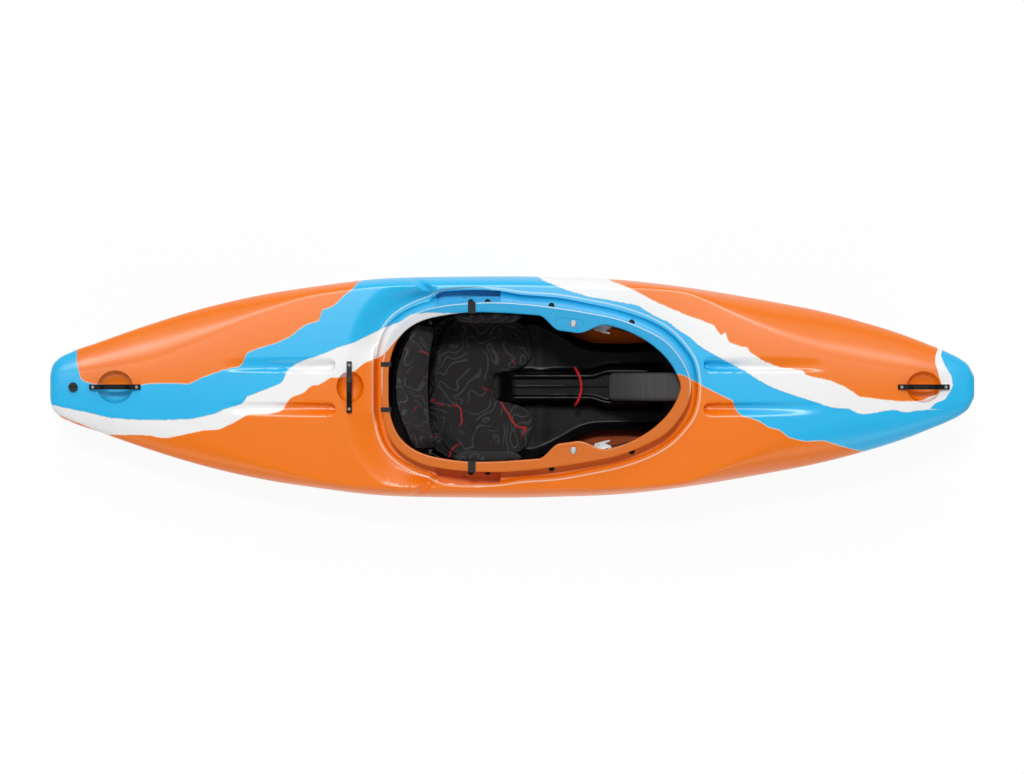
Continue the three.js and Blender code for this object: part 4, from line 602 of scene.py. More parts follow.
def side_channel(outline, flange, gap):
    """Deeper channel along the outer side of the pockets, grown by a gap."""
    top = DECK_HEIGHT
    channel = upright(outline, -top, top, gap - TROUGH_DRAFT - 1)
    low = rim_height(POCKET_REAR) + TROUGH_FLOOR - POCKET_DEPTH - CHANNEL_DEPTH - gap
    combined(channel, pocket_slab(gap, CHANNEL_END, low), "INTERSECT")
    return cut(channel, upright(flange, -2 * top, 2 * top, CHANNEL_GAP - gap))


def bowl_space(radii, x, gap, count):
    """Space of a hand bowl in the deck, grown by a gap."""
    grow = 1 + gap / radii[0]
    profile = [(share * grow, down * (BOWL_DEPTH + gap)) for share, down in BOWL_SHARES]
    return revolved("bowl", [*profile, (grow, BOWL_TOP)], count, (x, 0, float(deck_at(x))), radii)


def hook_recess(side):
    """Shallow capsule in the top of a thigh hook, round its bolt."""
    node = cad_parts["hook_bolt_port" if side > 0 else "hook_bolt_starboard"]
    corners = np.array([node.matrix_world @ Vector(corner) for corner in node.bound_box]) / MM
    bolt = (corners.min(axis=0) + corners.max(axis=0)) / 2
    length, width, depth = RECESS_SIZE
    radius = width / 2
    outline = []
    for end in (1, -1):
        for turn in np.linspace(-math.pi / 2, math.pi / 2, RECESS_STEPS):
            along = end * (length / 2 - radius + radius * math.cos(turn)) - RECESS_SHIFT
            outline.append((along, end * radius * math.sin(turn)))
    x, y = np.array(outline).T
    cos, sin = math.cos(HOOK_TURN), -side * math.sin(HOOK_TURN)
    placed = np.stack([x * cos - y * sin, x * sin + y * cos], axis=1) + bolt[:2]
    return lofted("recess", rim_rings(placed, [(-depth, -RECESS_DRAFT), (0, 0), (RECESS_TOP, 0)]))


def taken(made):
    """Applies the modifiers of a piece."""
    bpy.context.view_layer.update()
    mesh = bpy.data.meshes.new_from_object(made.evaluated_get(bpy.context.evaluated_depsgraph_get()))
    made.modifiers.clear()
    old = made.data
    made.data = mesh
    bpy.data.meshes.remove(old)


def combined(base, cutter, operation):
    """Joins or cuts a closed mesh with another, which is then dropped."""
    modifier = base.modifiers.new("combine", "BOOLEAN")
    modifier.operation = operation
    modifier.solver = "MANIFOLD"
    modifier.object = cutter
    taken(base)
    mesh = cutter.data
    bpy.data.objects.remove(cutter)
    bpy.data.meshes.remove(mesh)
    return base


def cut(base, cutter):
    """Cuts a closed mesh out of another."""
    return combined(base, cutter, "DIFFERENCE")


def revolved(name, profile, count, at, squeeze=(1, 1)):
    """Closed body turned about the vertical through a point."""
    turn = np.arange(count) / count * 2 * math.pi
    rings = []
    for radius, height in profile:
        x = at[0] + radius * squeeze[0] * np.cos(turn)
        y = at[1] + radius * squeeze[1] * np.sin(turn)
        rings.append(np.column_stack([x, y, np.full(count, at[2] + height)]))
    return lofted(name, rings)


def slab(low, high):
    """Box between two corners."""
    x0, y0, z0 = low
    x1, y1, z1 = high
    ring = np.array([(x0, y0, z0), (x1, y0, z0), (x1, y1, z0), (x0, y1, z0)])
    return lofted("slab", [ring, ring + np.array([0, 0, z1 - z0])])


def operator(operation, swapped=False):
    """Operator that puts a value and another through a Math node."""
    def apply(self, other):
        return self.finish.math(operation, *((other, self) if swapped else (self, other)))
    return apply


class Value:
    """A number, colour or vector that varies over a surface."""

    __add__ = operator("ADD")
    __sub__ = operator("SUBTRACT")
    __rsub__ = operator("SUBTRACT", True)
    __mul__ = operator("MULTIPLY")
    __truediv__ = operator("DIVIDE")

    def __init__(self, finish, socket):
        self.finish = finish
        self.socket = socket

    def __neg__(self):
        return self * -1

    def __abs__(self):
        return self.finish.math("ABSOLUTE", self)

    def clipped(self):
        """The value held between 0 and 1."""
        return self.finish.math("ADD", self, 0, clamp=True)

    def past(self, edge, steepness):
        """Ramp that starts at an edge and is held between 0 and 1."""
        return ((self - edge) * steepness).clipped()


class Finish:
    """Material whose nodes are written as expressions."""

    def __init__(self, name, **constants):
        self.material = bpy.data.materials.new(name)
        self.material.use_nodes = True
        self.nodes = self.material.node_tree.nodes
        self.links = self.material.node_tree.links
        self.surface = self.nodes["Principled BSDF"]
        self.set(**constants)

    def set(self, **inputs):
        """Sets or links sockets of the surface; an underscore stands for a space."""
        for name, value in inputs.items():
            self.feed(self.surface.inputs[name.replace("_", " ")], value)

    def feed(self, socket, value):
        """Puts a number or another node's value on a socket."""
        if isinstance(value, Value):
            self.links.new(value.socket, socket)
        else:
            socket.default_value = value

    def node(self, kind, settings=None, inputs=None, output=0):
        """Adds a node with its settings and the values of its sockets."""
        made = self.nodes.new(kind)
        for name, value in (settings or {}).items():
            setattr(made, name, value)
        for name, value in (inputs or {}).items():
            self.feed(made.inputs[name], value)
        return Value(self, made.outputs[output])

    def curve(self, points, value):
        """Height of the straight pieces through points between 0 and 1, over a value."""
        made = self.node("ShaderNodeFloatCurve", inputs={"Factor": 1.0, "Value": value})
        mapping = made.socket.node.mapping
        line = mapping.curves[0]
        while len(line.points) < len(points):
            line.points.new(0.5, 0.5)
        for point, place in zip(line.points, points):
            point.location = place
            point.handle_type = "VECTOR"
        mapping.use_clip = False
        mapping.update()
        return made

    def math(self, operation, *values, clamp=False):
        """Math node on one or two values."""
        settings = {"operation": operation, "use_clamp": clamp}
        return self.node("ShaderNodeMath", settings, dict(enumerate(values)))

    def mix(self, factor, a, b):
        """Colour a where the factor is 0 and b where it is 1."""
        return self.node("ShaderNodeMix", {"data_type": "RGBA"}, {0: factor, 6: a, 7: b}, 2)

    def parts(self, vector):
        """The three parts of a vector."""
        return [self.node("ShaderNodeSeparateXYZ", inputs={0: vector}, output=i) for i in range(3)]

    def scaled(self, vector, shares):
        """Vector or colour with each part times its share."""
        return self.node("ShaderNodeVectorMath", {"operation": "MULTIPLY"}, {0: vector, 1: shares})

    def moved(self, vector, shift):
        """Vector with a shift added."""
        return self.node("ShaderNodeVectorMath", {"operation": "ADD"}, {0: vector, 1: shift})

    def noise(self, vector, scale, detail=2.0, roughness=0.5, distortion=0.0):
        """Cloudy noise, about 0.5."""
        inputs = {"Vector": vector, "Scale": scale, "Detail": detail}
        inputs.update({"Roughness": roughness, "Distortion": distortion})
        return self.node("ShaderNodeTexNoise", inputs=inputs)

    def coated(self, colour, roughness, height, depth):
        """Material of a colour and a roughness, raised by height times a depth in metres."""
        bump = self.node("ShaderNodeBump", inputs={"Height": height, "Distance": depth, "Strength": 1.0})
        self.set(Base_Color=colour, Roughness=roughness, Normal=bump)
        return self.material


def textured(name, **constants):
    """New finish, and the place on the object in metres."""
    finish = Finish(name, **constants)
    return finish, finish.node("ShaderNodeTexCoord", output="Object")


def linear(red, green, blue):
    """Linear colour of an 8-bit screen colour."""
    def one(value):
        share = value / 255
        return share / 12.92 if share <= 0.04045 else ((share + 0.055) / 1.055) ** 2.4
    return (one(red), one(green), one(blue), 1.0)


def band_edge(finish, value, edge_points, place, low, size):
    """How far a value lies past the edge drawn over another place, in metres."""
    points = [((x * MM - low[0]) / size[0], (y * MM - low[1]) / size[1]) for x, y in edge_points]
    edge = finish.curve(points, (place - low[0]) / size[0])
    return value - (edge * size[1] + low[1])


def painted(finish, base, past, colour, soft):
    """Colour where the edge is passed, with a thin pale line along the edge."""
    line = (1 - abs(past) * EDGE_LINE_THINNESS).clipped() * EDGE_LINE_SHARE
    return finish.mix(line, finish.mix((past * soft + 0.5).clipped(), base, colour), linear(*EDGE_LINE))


def past_outline(finish, x, y, outline):
    """How far a place lies outside an outline round the cockpit, in metres."""
    stretch = RIM_HALF_LENGTH / RIM_HALF_WIDTH
    half = port_half(outline)
    across, along = half[:, 1] * stretch, half[:, 0] - RIM_CENTRE
    turn = np.arctan2(across, along) / math.pi
    order = np.argsort(turn)
    wanted = np.linspace(0, 1, OUTLINE_POINTS)
    reach = np.interp(wanted, turn[order], np.hypot(across, along)[order]) * MM
    along, across = x - RIM_CENTRE * MM, abs(y) * stretch
    turn = finish.math("ARCTAN2", across, along) * (1 / math.pi)
    curve = finish.curve(list(zip(wanted, reach)), turn)
    reached = finish.math("SQRT", along * along + across * across)
    share = abs(finish.math("SINE", turn * math.pi))
    return (reached - curve) * (1 - share * (1 - 1 / stretch))


def banded(finish, x_edge, y_edge, colours, soft):
    """Colour bands of the stern and the bow, painted one over the other."""
    orange, blue, white = colours.orange, colours.blue, colours.white
    ends = []
    for edges, bands in (((STERN_LOWER_EDGE, STERN_MIDDLE_EDGE, STERN_TOP_EDGE), (white, blue, orange)),
                         ((BOW_LOWER_EDGE, BOW_MIDDLE_EDGE, BOW_TOP_EDGE), (blue, white, orange))):
        base = orange
        for edge, colour in zip(edges, bands):
            past = band_edge(finish, y_edge, edge, x_edge, PAINT_LOW, PAINT_SIZE)
            base = painted(finish, base, past, colour, soft)
        ends.append(base)
    stern, bow = ends
    tip = ((STERN_TIP[0] - x_edge) * SHARP + 0.5).clipped() * y_edge.past(STERN_TIP[1], SHARP)
    stern = finish.mix(tip, stern, blue)
    for edge, colour in ((TIP_WHITE_EDGE, white), (TIP_BLUE_EDGE, blue)):
        past = band_edge(finish, x_edge, edge, y_edge, TIP_LOW, TIP_SIZE)
        bow = finish.mix((past * SHARP + 0.5).clipped(), bow, colour)
    return stern, bow


def shell_finish(colours):
    """Moulded plastic whose orange, blue and white flow into each other, with painted shade on the rim's
    flange and painted highlight lines along the trough's lip and the flange's edge.
    """
    finish, place = textured("shell_plastic", IOR=1.5)
    x, y, z = finish.parts(place)
    wave = finish.noise(finish.scaled(place, (1, 1, 0.3)), 60, 3.0, 0.6)
    fine = (finish.noise(place, 190, 2.0, 0.6) - 0.5) * 0.003
    soft = finish.noise(place, 9, 1.0) * 700 + 150
    stern, bow = banded(finish, x + fine, y + (wave - 0.5) * 0.006 + fine, colours, soft)
    colour = finish.mix(((x - BANDS_MEET) * 200 + 0.5).clipped(), stern, bow)
    cloud = finish.noise(place, 6, 2.0)
    colour = finish.mix(cloud.past(0.42, 0.5), colour, finish.scaled(colour, CLOUD_TONE))
    lip = past_outline(finish, x, y, rim_outline(TROUGH_SHARES))
    # Painted shade: the top of the rim's flange is darkened
    over = z - x * RIM_SLOPE - (RIM_REAR_HEIGHT - RIM_REAR * RIM_SLOPE) * MM
    flange = (over * 400 + 4.2).clipped() * (-lip * 300).clipped()
    colour = finish.mix(flange, colour, finish.scaled(colour, FLANGE_SHADE))
    edge = past_outline(finish, x, y, rim_outline(FLANGE_SHARES))
    # Painted highlight: pale lines along the trough's lip and, on the port side, along the flange's outer
    # edge
    painted_highlight = (1.4 - abs(lip - HIGHLIGHT_LIP) * 420).clipped() * (z * 20 - 3).clipped()
    painted_highlight = painted_highlight + (1.3 - abs(edge - HIGHLIGHT_EDGE) * 520).clipped() * flange * (y * 30 + 1).clipped()
    colour = finish.mix(painted_highlight * HIGHLIGHT_SHARE, colour, HIGHLIGHT_PALE)
    speck = finish.noise(place, 700, 1.0).past(0.68, 6) * 0.12
    colour = finish.mix(speck, colour, (0.9, 0.9, 0.9, 1))
    peel = finish.noise(place, 420, 2.0)
    rub = finish.noise(finish.scaled(place, (1, 6, 6)), 30, 4.0, 0.65)
    return finish.coated(colour, rub * 0.1 + 0.27, peel, 0.0001)


def inner_finish(colours):
    """Inside of the shell: matt orange on the side walls beside the front of the cockpit, painted shade near
    black towards the ends and the middle, and painted shade darkening the orange to starboard.
    """
    finish, place = textured("shell_inside", Specular_IOR_Level=0.2)
    x, y, z = finish.parts(place)
    # Painted shade: outside a window on the side walls beside the front of the cockpit, the inside is painted
    # near black
    unshaded = x.past(UNSHADED_REAR, 8) * abs(y).past(UNSHADED_SIDE, 25) * x.past(UNSHADED_FRONT, -8)
    painted_shade = finish.mix(finish.noise(place, 9, 3.0), linear(14, 9, 8), linear(26, 15, 10))
    # Painted shade: the inside's orange darkens towards the starboard side
    orange = finish.mix((0.35 - y * 5).clipped(), colours.orange, linear(150, 62, 6))
    return finish.coated(finish.mix(unshaded, painted_shade, orange), 0.6, finish.noise(place, 240, 2.0), 0.0003)


def moulded_finish(name, colour, worn, roughness):
    """Dark moulded plastic with a fine grain and paler worn places."""
    finish, place = textured(name, Specular_IOR_Level=0.2)
    cloud = finish.noise(place, 14, 4.0, 0.6)
    colour = finish.mix(cloud.past(0.52, 2.5) * 0.5, colour, worn)
    return finish.coated(colour, cloud * 0.16 + roughness, finish.noise(place, GRAIN, 2.0), GRAIN_DEPTH)


def steel_finish(name, colour, roughness=0.28):
    """Brushed stainless steel."""
    finish, place = textured(name, Metallic=1.0)
    stroke = finish.noise(finish.scaled(place, (40, 900, 900)), 1.0, 3.0, 0.6)
    colour = finish.mix(finish.noise(place, 60, 3.0) * 0.35, colour, (0.32, 0.32, 0.33, 1))
    return finish.coated(colour, stroke * 0.16 + roughness, stroke, 0.00004)


def weave(finish, place, pitch):
    """Height of a plain weave: threads that pass over and under each other."""
    x, y, z = finish.parts(place)
    turn = 2 * math.pi / pitch
    warp, weft = (finish.math("SINE", along * turn) for along in (x + z, y - z))
    return warp * weft * 0.5 + 0.5


def contour(finish, place, scale, bands, half_width):
    """Wavy contour lines of one width, as a share of line colour."""
    step = CONTOUR_STEP
    field, *ahead = [finish.noise(finish.moved(place, shift), scale, 1.0, 0.45, 0.5)
                     for shift in ((0, 0, 0), (step, 0, 0), (0, step, 0), (0, 0, step))]
    steep = 1e-6
    for value in ahead:
        rise = value - field
        steep = rise * rise + steep
    reach = abs(finish.math("FRACT", field * bands) - 0.5) / finish.math("SQRT", steep) * (step / bands)
    return ((1 - reach / half_width) * CONTOUR_BLUR).clipped()


def print_colour(finish, place, colours):
    """Colour of the printed cloth: wavy contour lines in grey and a few thin ones in red."""
    flat = finish.scaled(place, (1, 1, 0.7))
    other = finish.moved(flat, (3.4, 1.2, 0))
    line = contour(finish, flat, 12, 9, 0.0022) * finish.noise(flat, 19, 1.0).past(0.4, 12)
    red = contour(finish, other, 6, 3, 0.0024) * finish.noise(other, 9, 1.0).past(0.5, 16)
    colour = finish.mix(finish.noise(place, 260, 2.0), colours.fabric, linear(36, 32, 34))
    return finish.mix(red, finish.mix(line, colour, colours.fabric_line), colours.fabric_accent)


def printed_finish(colours):
    """Woven upholstery with a print."""
    finish, place = textured("printed_fabric", Sheen_Weight=0.05, Sheen_Roughness=0.5)
    threads = weave(finish, place, 0.0016)
    return finish.coated(print_colour(finish, place, colours), threads * 0.03 + 0.87, threads, 0.00035)


def pan_finish(colours):
    """Satin plastic of the seat pan, covered with the printed cloth at both sides of the seat."""
    finish, place = textured("pan_plastic", Specular_IOR_Level=0.2)
    x, y, z = finish.parts(place)
    cloud = finish.noise(place, 14, 4.0, 0.6)
    out = abs(y) - COVER_MIDDLE
    beside = (abs(y).past(COVER_SIDE, COVER_SHARP) + x.past(COVER_REAR, -COVER_SHARP)).clipped()
    covered = ((COVER_FRONT - x - out * out * 8) * COVER_SHARP).clipped() * beside
    plastic = finish.mix(cloud.past(0.52, 1.3), colours.outfitting, linear(26, 26, 27))
    colour = finish.mix(covered, plastic, print_colour(finish, place, colours))
    roughness = (cloud * 0.16 + 0.24) * (1 - covered) + covered * 0.9
    return finish.coated(colour, roughness, finish.noise(place, GRAIN, 2.0), GRAIN_DEPTH)


def foam_finish(name, colour, ribs=False):
    """Closed-cell foam with fine pores, ribbed by the knife where it was sliced."""
    finish, place = textured(name)
    height = finish.node("ShaderNodeTexVoronoi", inputs={"Vector": place, "Scale": 520.0})
    if ribs:
        shade = finish.noise(finish.scaled(place, (1, 0.02, 0.02)), 150, 2.0, 0.7)
        height = height * 0.4 + shade
    else:
        shade = finish.noise(place, 30, 3.0)
    pale = tuple(part * 1.9 for part in colour[:3]) + (1,)
    return finish.coated(finish.mix(shade, colour, pale), 0.92, height, 0.0006)


def woven_finish(name, colour, pale):
    """Narrow woven band with ribs across."""
    finish, place = textured(name)
    threads = weave(finish, place, 0.0022)
    return finish.coated(finish.mix(threads * 0.5, colour, pale), 0.8, threads, 0.0004)


def floor_finish():
    """White ground that keeps the shadow, and is white to the camera and to mirrors."""
    finish = Finish("ground_white", Base_Color=(0.9, 0.9, 0.9, 1), Roughness=0.9)
    rays = ("Is Camera Ray", "Is Glossy Ray")
    seen = finish.math("MAXIMUM", *[finish.node("ShaderNodeLightPath", output=ray) for ray in rays])
    glow = finish.node("ShaderNodeEmission", inputs={"Color": (1, 1, 1, 1), "Strength": 1.0})
    surface = Value(finish, finish.surface.outputs[0])
    mixed = finish.node("ShaderNodeMixShader", inputs={0: seen * 0.93, 1: surface, 2: glow})
    finish.feed(finish.nodes["Material Output"].inputs["Surface"], mixed)
    return finish.material


def colour_setting(name, description, default):
    """Colour that a user would change."""
    return bpy.props.FloatVectorProperty(name=name, description=description, default=default, size=4,
                                         subtype="COLOR", min=0, max=1)


def number_setting(name, description, default, **options):
    """Number that a user would change."""
    return bpy.props.FloatProperty(name=name, description=description, default=default, **options)


def length_setting(name, description, default):
    """Length in metres that a user would change."""
    return number_setting(name, description, default, unit="LENGTH", precision=4)


class KayakColours(bpy.types.PropertyGroup):
    """Colours of the kayak."""

    orange: colour_setting("Orange", "First colour of the shell", linear(238, 118, 5))
    blue: colour_setting("Blue", "Second colour of the shell", linear(34, 181, 234))
    white: colour_setting("White", "Third colour of the shell", linear(238, 238, 238))
    fabric: colour_setting("Fabric", "Ground of the printed fabric", linear(24, 21, 23))
    fabric_line: colour_setting("Fabric lines", "Contour lines of the fabric", linear(62, 62, 64))
    fabric_accent: colour_setting("Fabric accent", "Few bright lines of the fabric", linear(176, 34, 34))
    outfitting: colour_setting("Outfitting", "Seat pan and braces", linear(9, 9, 10))
    foam: colour_setting("Foam", "Pillars and foam pads", linear(58, 58, 59))
    bar: colour_setting("Bars", "Grab bars", linear(10, 10, 11))
    cord: colour_setting("Cord", "Elastic cord over the console", linear(226, 24, 30))


class KayakSizes(bpy.types.PropertyGroup):
    """Sizes of the detail on the kayak."""

    station_step: length_setting("Station step", "Distance between the shell's sections", 0.014)
    voxel: length_setting("Cushion voxel", "Size of the cells a cushion is meshed with", 0.005)
    swell: length_setting("Cushion swell", "Most that a cushion's cloth may move", 0.008)


class StageSettings(bpy.types.PropertyGroup):
    """Camera and lamps."""

    camera_height: length_setting("Camera height", "Height of the camera over the deck", 16.62)
    lens: number_setting("Lens", "Focal length in millimetres", 200.0)
    world: number_setting("Sky", "Strength of the light from all round", 0.3)
    sun: number_setting("Sun", "Strength of the lamp that draws the shadows", 1.72)
    key: number_setting("Key", "Power of the large lamp", 48.0, subtype="POWER")


def smooth(made, angle=35.0):
    """Smooth shading with sharp edges where faces meet at more than an angle."""
    mesh = made.data
    mesh.polygons.foreach_set("use_smooth", [True] * len(mesh.polygons))
    mesh.set_sharp_from_angle(angle=math.radians(angle))


def dressed(made, material, body, nodes):
    """Gives a piece its finish, its body and the nodes it stands for."""
    if material is not None:
        made.data.materials.clear()
        made.data.materials.append(material)
    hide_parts(*nodes)
    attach(made, body)
    return made


def both(name):
    """Names of a piece on both sides."""
    return [f"{name}_{side}" for side in SIDES]


def finish_nodes(material, *names):
    """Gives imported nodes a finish; a name without its side stands for both."""
    for name in names:
        for node in [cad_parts[full] for full in (name, *both(name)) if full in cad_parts]:
            node.data.materials.clear()
            node.data.materials.append(material)


def bolt_stands():
    """Tops of the bosses under the bars."""
    stands = []
    for x in (STERN_BAR_X, BOW_BAR_X):
        top = max(float(deck_at(x - BAR_FOOT)), float(deck_at(x + BAR_FOOT))) + BOSS_HEIGHT
        stands += [(x - BAR_FOOT, 0, top), (x + BAR_FOOT, 0, top)]
    top = float(deck_at(REAR_BAR_X)) + BOSS_HEIGHT
    return stands + [(REAR_BAR_X, BAR_FOOT, top), (REAR_BAR_X, -BAR_FOOT, top)]


def shell_room(trough, flange):
    """Room inside the shell's wall."""
    room = shell_loft("room", WALL, 2 * WALL, ROOM_STATION_STEP, False)
    backing = grown(trough, WALL)
    levels = [(TROUGH_FLOOR - WALL, -TROUGH_DRAFT), (DECK_HEIGHT, 0)]
    cut(room, lofted("trough", rim_rings(backing, levels)))
    cut(room, pocket_space(backing, 0, WALL))
    cut(room, side_channel(trough, flange, WALL))
    for radii, x in BOWLS:
        cut(room, bowl_space(radii, x, WALL, 24))
    return room


def build_shell(scene):
    """Shell of the boat: hull, deck, trough, rim, bowls and grooves."""
    shell = shell_loft("kayak_shell", 0, 0, scene.kayak_sizes.station_step / MM, True)
    trough = rim_outline(TROUGH_SHARES, 480)
    flange = rim_outline(FLANGE_SHARES)
    inside = rim_outline(MOUTH_SHARES)
    outside = grown(inside, WALL)
    cut(shell, trough_body(trough))
    pockets = pocket_space(trough, -TROUGH_DRAFT, 0)
    cut(shell, cut(pockets, upright(outside, TROUGH_FLOOR - 2 * NECK_HEIGHT, DECK_HEIGHT)))
    cut(shell, side_channel(trough, flange, 0))
    combined(shell, upright(outside, TROUGH_FLOOR - WALL / 2, -FLANGE / 2), "UNION")
    for radii, x in BOWLS:
        cut(shell, bowl_space(radii, x, 0, 48))
    boss = [(BOSS_RADIUS, -2 * WALL), (BOSS_RADIUS, -BOSS_EDGE), (BOSS_RADIUS - BOSS_EDGE, 0)]
    for stand in bolt_stands():
        combined(shell, revolved("boss", boss, 24, stand), "UNION")
    plug = (PLUG_X, 0, float(deck_at(PLUG_X)) + BOSS_HEIGHT)
    plug_boss = [(PLUG_BOSS_RADIUS, -WALL), (PLUG_BOSS_RADIUS, 0)]
    combined(shell, revolved("boss", plug_boss, 32, plug), "UNION")

    room = shell_room(trough, flange)
    coat = [shell_finish(scene.kayak_colours), inner_finish(scene.kayak_colours)]
    for part in (shell, room):
        part.data.materials.clear()
        for material in coat:
            part.data.materials.append(material)
    room.data.polygons.foreach_set("material_index", [1] * len(room.data.polygons))
    cut(shell, room)
    cut(shell, upright(inside, TROUGH_FLOOR - NECK_HEIGHT, DECK_HEIGHT))
    rim = rim_flange(inside)
    for side in (1, -1):
        cut(rim, hook_recess(side))
    rim.data.materials.clear()
    combined(shell, rim, "UNION")
    holes = [(BAR_HOLE, 16, stand) for stand in bolt_stands()] + [(PLUG_HOLE, 32, plug)]
    for radius, count, place in holes:
        cut(shell, revolved("hole", [(radius, -HOLE_REACH), (radius, HOLE_REACH)], count, place))
    smooth(shell, 32)
    dressed(shell, None, "hull", ["hull_shell"])


def rim_flange(inside):
    """Rounded flange of the rim, open over the mouth."""
    r, t = FLANGE_ROUND, FLANGE
    drops = (0, r * 0.15, r * 0.5, r)
    under = [(-t + drop, -(r - math.sqrt(max(0, r * r - (r - drop) ** 2)))) for drop in drops]
    over = [(-height - t, growth) for height, growth in reversed(under)]
    levels = [(-t, -r - FLANGE_INSET), *under, *over, (0, -r - FLANGE_INSET)]
    rings = rim_rings(rim_outline(FLANGE_SHARES), levels)
    inner = [(height, -growth) for height, growth in reversed(levels)]
    rings += rim_rings(mouth_outline(inside), inner)
    faces = ring_faces(len(rings), len(inside), True)
    return outward(mesh_object("flange", np.concatenate(rings), faces))


def pan_half_width(x):
    """Half width of the seat pan at places."""
    return PAN_HALF * curve_values(PAN_SHARES, 1, (x - PAN_REAR) / (PAN_FRONT - PAN_REAR))


def pan_section(x):
    """Upper face of the pan across one station, centreline to port, as points evenly spaced along it."""
    def ramp(low, high):
        return float(smoothstep(x, low, high))
    rise = RIDGE_REAR + RIDGE_STEP
    climb = min(1, max(0, (x - RIDGE_REAR) / (PILLAR_REAR - RIDGE_REAR)))
    ridge = ramp(RIDGE_REAR, rise) * (1 - ramp(RIDGE_FRONT, RIDGE_FRONT + RIDGE_STEP))
    ridge *= RIDGE_LOW + (RIDGE_HIGH - RIDGE_LOW) * climb
    spread = RIDGE_SPREAD * ramp(PILLAR_REAR - 1.5 * RIDGE_TOP, PILLAR_REAR)
    rear = ramp(PAN_REAR, PAN_REAR + PAN_REAR_RAMP)
    edge = PAN_EDGE * (1.2 + 1.2 * rear - 0.6 * ramp(rise, RIDGE_REAR + 4 * RIDGE_STEP))
    keel = float(station(2, x + SEAT_TRAVEL)) * DECK_HEIGHT
    floor = max(PAN_FLOOR, keel + WALL + SEAT_OFF) + PAN_THICKNESS
    low, crest_x, high = SADDLE
    saddle = SADDLE_HEIGHT * ramp(low, crest_x) * (1 - ramp(crest_x, high))
    half = float(pan_half_width(x))
    share = min(1, ridge / PAN_EDGE)
    crest = floor + ridge
    bed = crest - RIDGE_CHANNEL * share
    rib = bed + RIDGE_RIB * share
    top, foot = RIDGE_TOP + spread, RIDGE_FOOT + spread
    t = PAN_THICKNESS
    lip = min(PAN_LIP, half * 0.2)
    points = np.array([
        (0, rib), (0.9, rib), (RIDGE_RIB, bed), (top - 4 * t, bed), (top - 2.4 * t, crest - share),
        (top - 1.6 * t, crest), (top - 0.8 * t, crest - 0.5 * share), (top, crest - t * share),
        (foot, floor + t * share), (foot + 9, floor + saddle), ((foot + half - lip) / 2, floor + saddle),
        (half - lip, floor + saddle * 0.7), (half - lip * 0.55, floor + edge * 0.22 + saddle * 0.4),
        (half - lip * 0.2, floor + edge * 0.68), (half - lip * 0.06, floor + edge * 0.95),
        (half, floor + edge),
    ])
    along = np.concatenate([[0], np.cumsum(np.linalg.norm(np.diff(points, axis=0), axis=1) + 0.2)])
    rows = np.column_stack([along, points])
    wanted = np.sort(np.concatenate([along, np.linspace(0, along[-1], PAN_COLUMNS)]))
    return np.stack([curve_values(rows, 1, wanted), curve_values(rows, 2, wanted)], axis=1)


def seat_pan():
    """Moulded seat pan: bowl, saddle, console ridge with its channel, and the slot for the pillar."""
    upper = []
    for x in np.arange(PAN_REAR, PAN_FRONT + 1, PAN_STEP):
        section = pan_section(float(x))
        full = np.concatenate([section[:0:-1] * [-1, 1], section])
        upper.append(np.column_stack([np.full(len(full), x), full]))
    upper = np.array(upper)
    normal = np.cross(np.gradient(upper, axis=0), np.gradient(upper, axis=1))
    normal /= np.maximum(np.linalg.norm(normal, axis=2), 1e-9)[:, :, None]
    under = upper - normal * (PAN_THICKNESS * UNDER_SHARE)
    under[:, :, 0] = upper[:, :, 0]
    pan = lofted("moulded_pan", [np.concatenate([top, low[::-1]]) for top, low in zip(upper, under)])
    rear, half = PILLAR_REAR - SOCKET_GAP, PILLAR_WIDTH / 2 + SOCKET_GAP
    cut(pan, slab((rear, -half, SOCKET_LOW), (PAN_FRONT + SOCKET_AHEAD, half, SOCKET_HIGH)))
    smooth(pan, 50)
    return pan


def bare_copy(name, node):
    """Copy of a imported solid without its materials."""
    made = linked(name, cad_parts[node].data.copy())
    made.data.materials.clear()
    return made


def plumped(name, node, voxel, swell):
    """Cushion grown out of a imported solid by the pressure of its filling."""
    made = bare_copy(name, node)
    remesh = made.modifiers.new("cells", "REMESH")
    remesh.mode = "VOXEL"
    remesh.voxel_size = voxel
    taken(made)
    start = coordinates(made.data)
    settings = made.modifiers.new("filling", "CLOTH").settings
    settings.use_pressure = True
    settings.uniform_pressure_force = CUSHION_PRESSURE
    settings.effector_weights.gravity = 0
    settings.tension_stiffness = CUSHION_TENSION
    settings.bending_stiffness = CUSHION_BENDING
    scene = bpy.context.scene
    for step in range(1, CUSHION_FRAMES + 1):
        scene.frame_set(step)
    taken(made)
    scene.frame_set(1)
    moved = coordinates(made.data) - start
    share = np.minimum(1, swell / np.maximum(np.linalg.norm(moved, axis=1), 1e-9))[:, None]
    made.data.vertices.foreach_set("co", (start + moved * share).ravel())
    made.data.update()
    soften = made.modifiers.new("soften", "SMOOTH")
    soften.factor, soften.iterations = SOFTENING
    made.modifiers.new("subdivide", "SUBSURF").levels = 1
    taken(made)
    smooth(made, 180)
    return made


def coordinates(mesh):
    """Places of a mesh's points."""
    flat = np.empty(len(mesh.vertices) * 3)
    mesh.vertices.foreach_get("co", flat)
    return flat.reshape(-1, 3)


def rounded_copy(name, node, width):
    """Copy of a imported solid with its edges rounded."""
    made = bare_copy(name, node)
    work = bmesh.new()
    work.from_mesh(made.data)
    bmesh.ops.remove_doubles(work, verts=work.verts, dist=1e-5)
    bmesh.ops.dissolve_limit(work, angle_limit=math.radians(3), verts=work.verts, edges=work.edges)
    work.to_mesh(made.data)
    work.free()
    bevel = made.modifiers.new("round", "BEVEL")
    bevel.width = width
    bevel.segments = 3
    bevel.limit_method = "ANGLE"
    bevel.angle_limit = math.radians(35)
    taken(made)
    smooth(made, 40)
    return made


class ShellPiece(bpy.types.Operator):
    """Makes the moulded shell in its colour bands."""

    bl_idname = "kayak.shell"
    bl_label = "Shell"

    def execute(self, context):
        build_shell(context.scene)
        return {"FINISHED"}


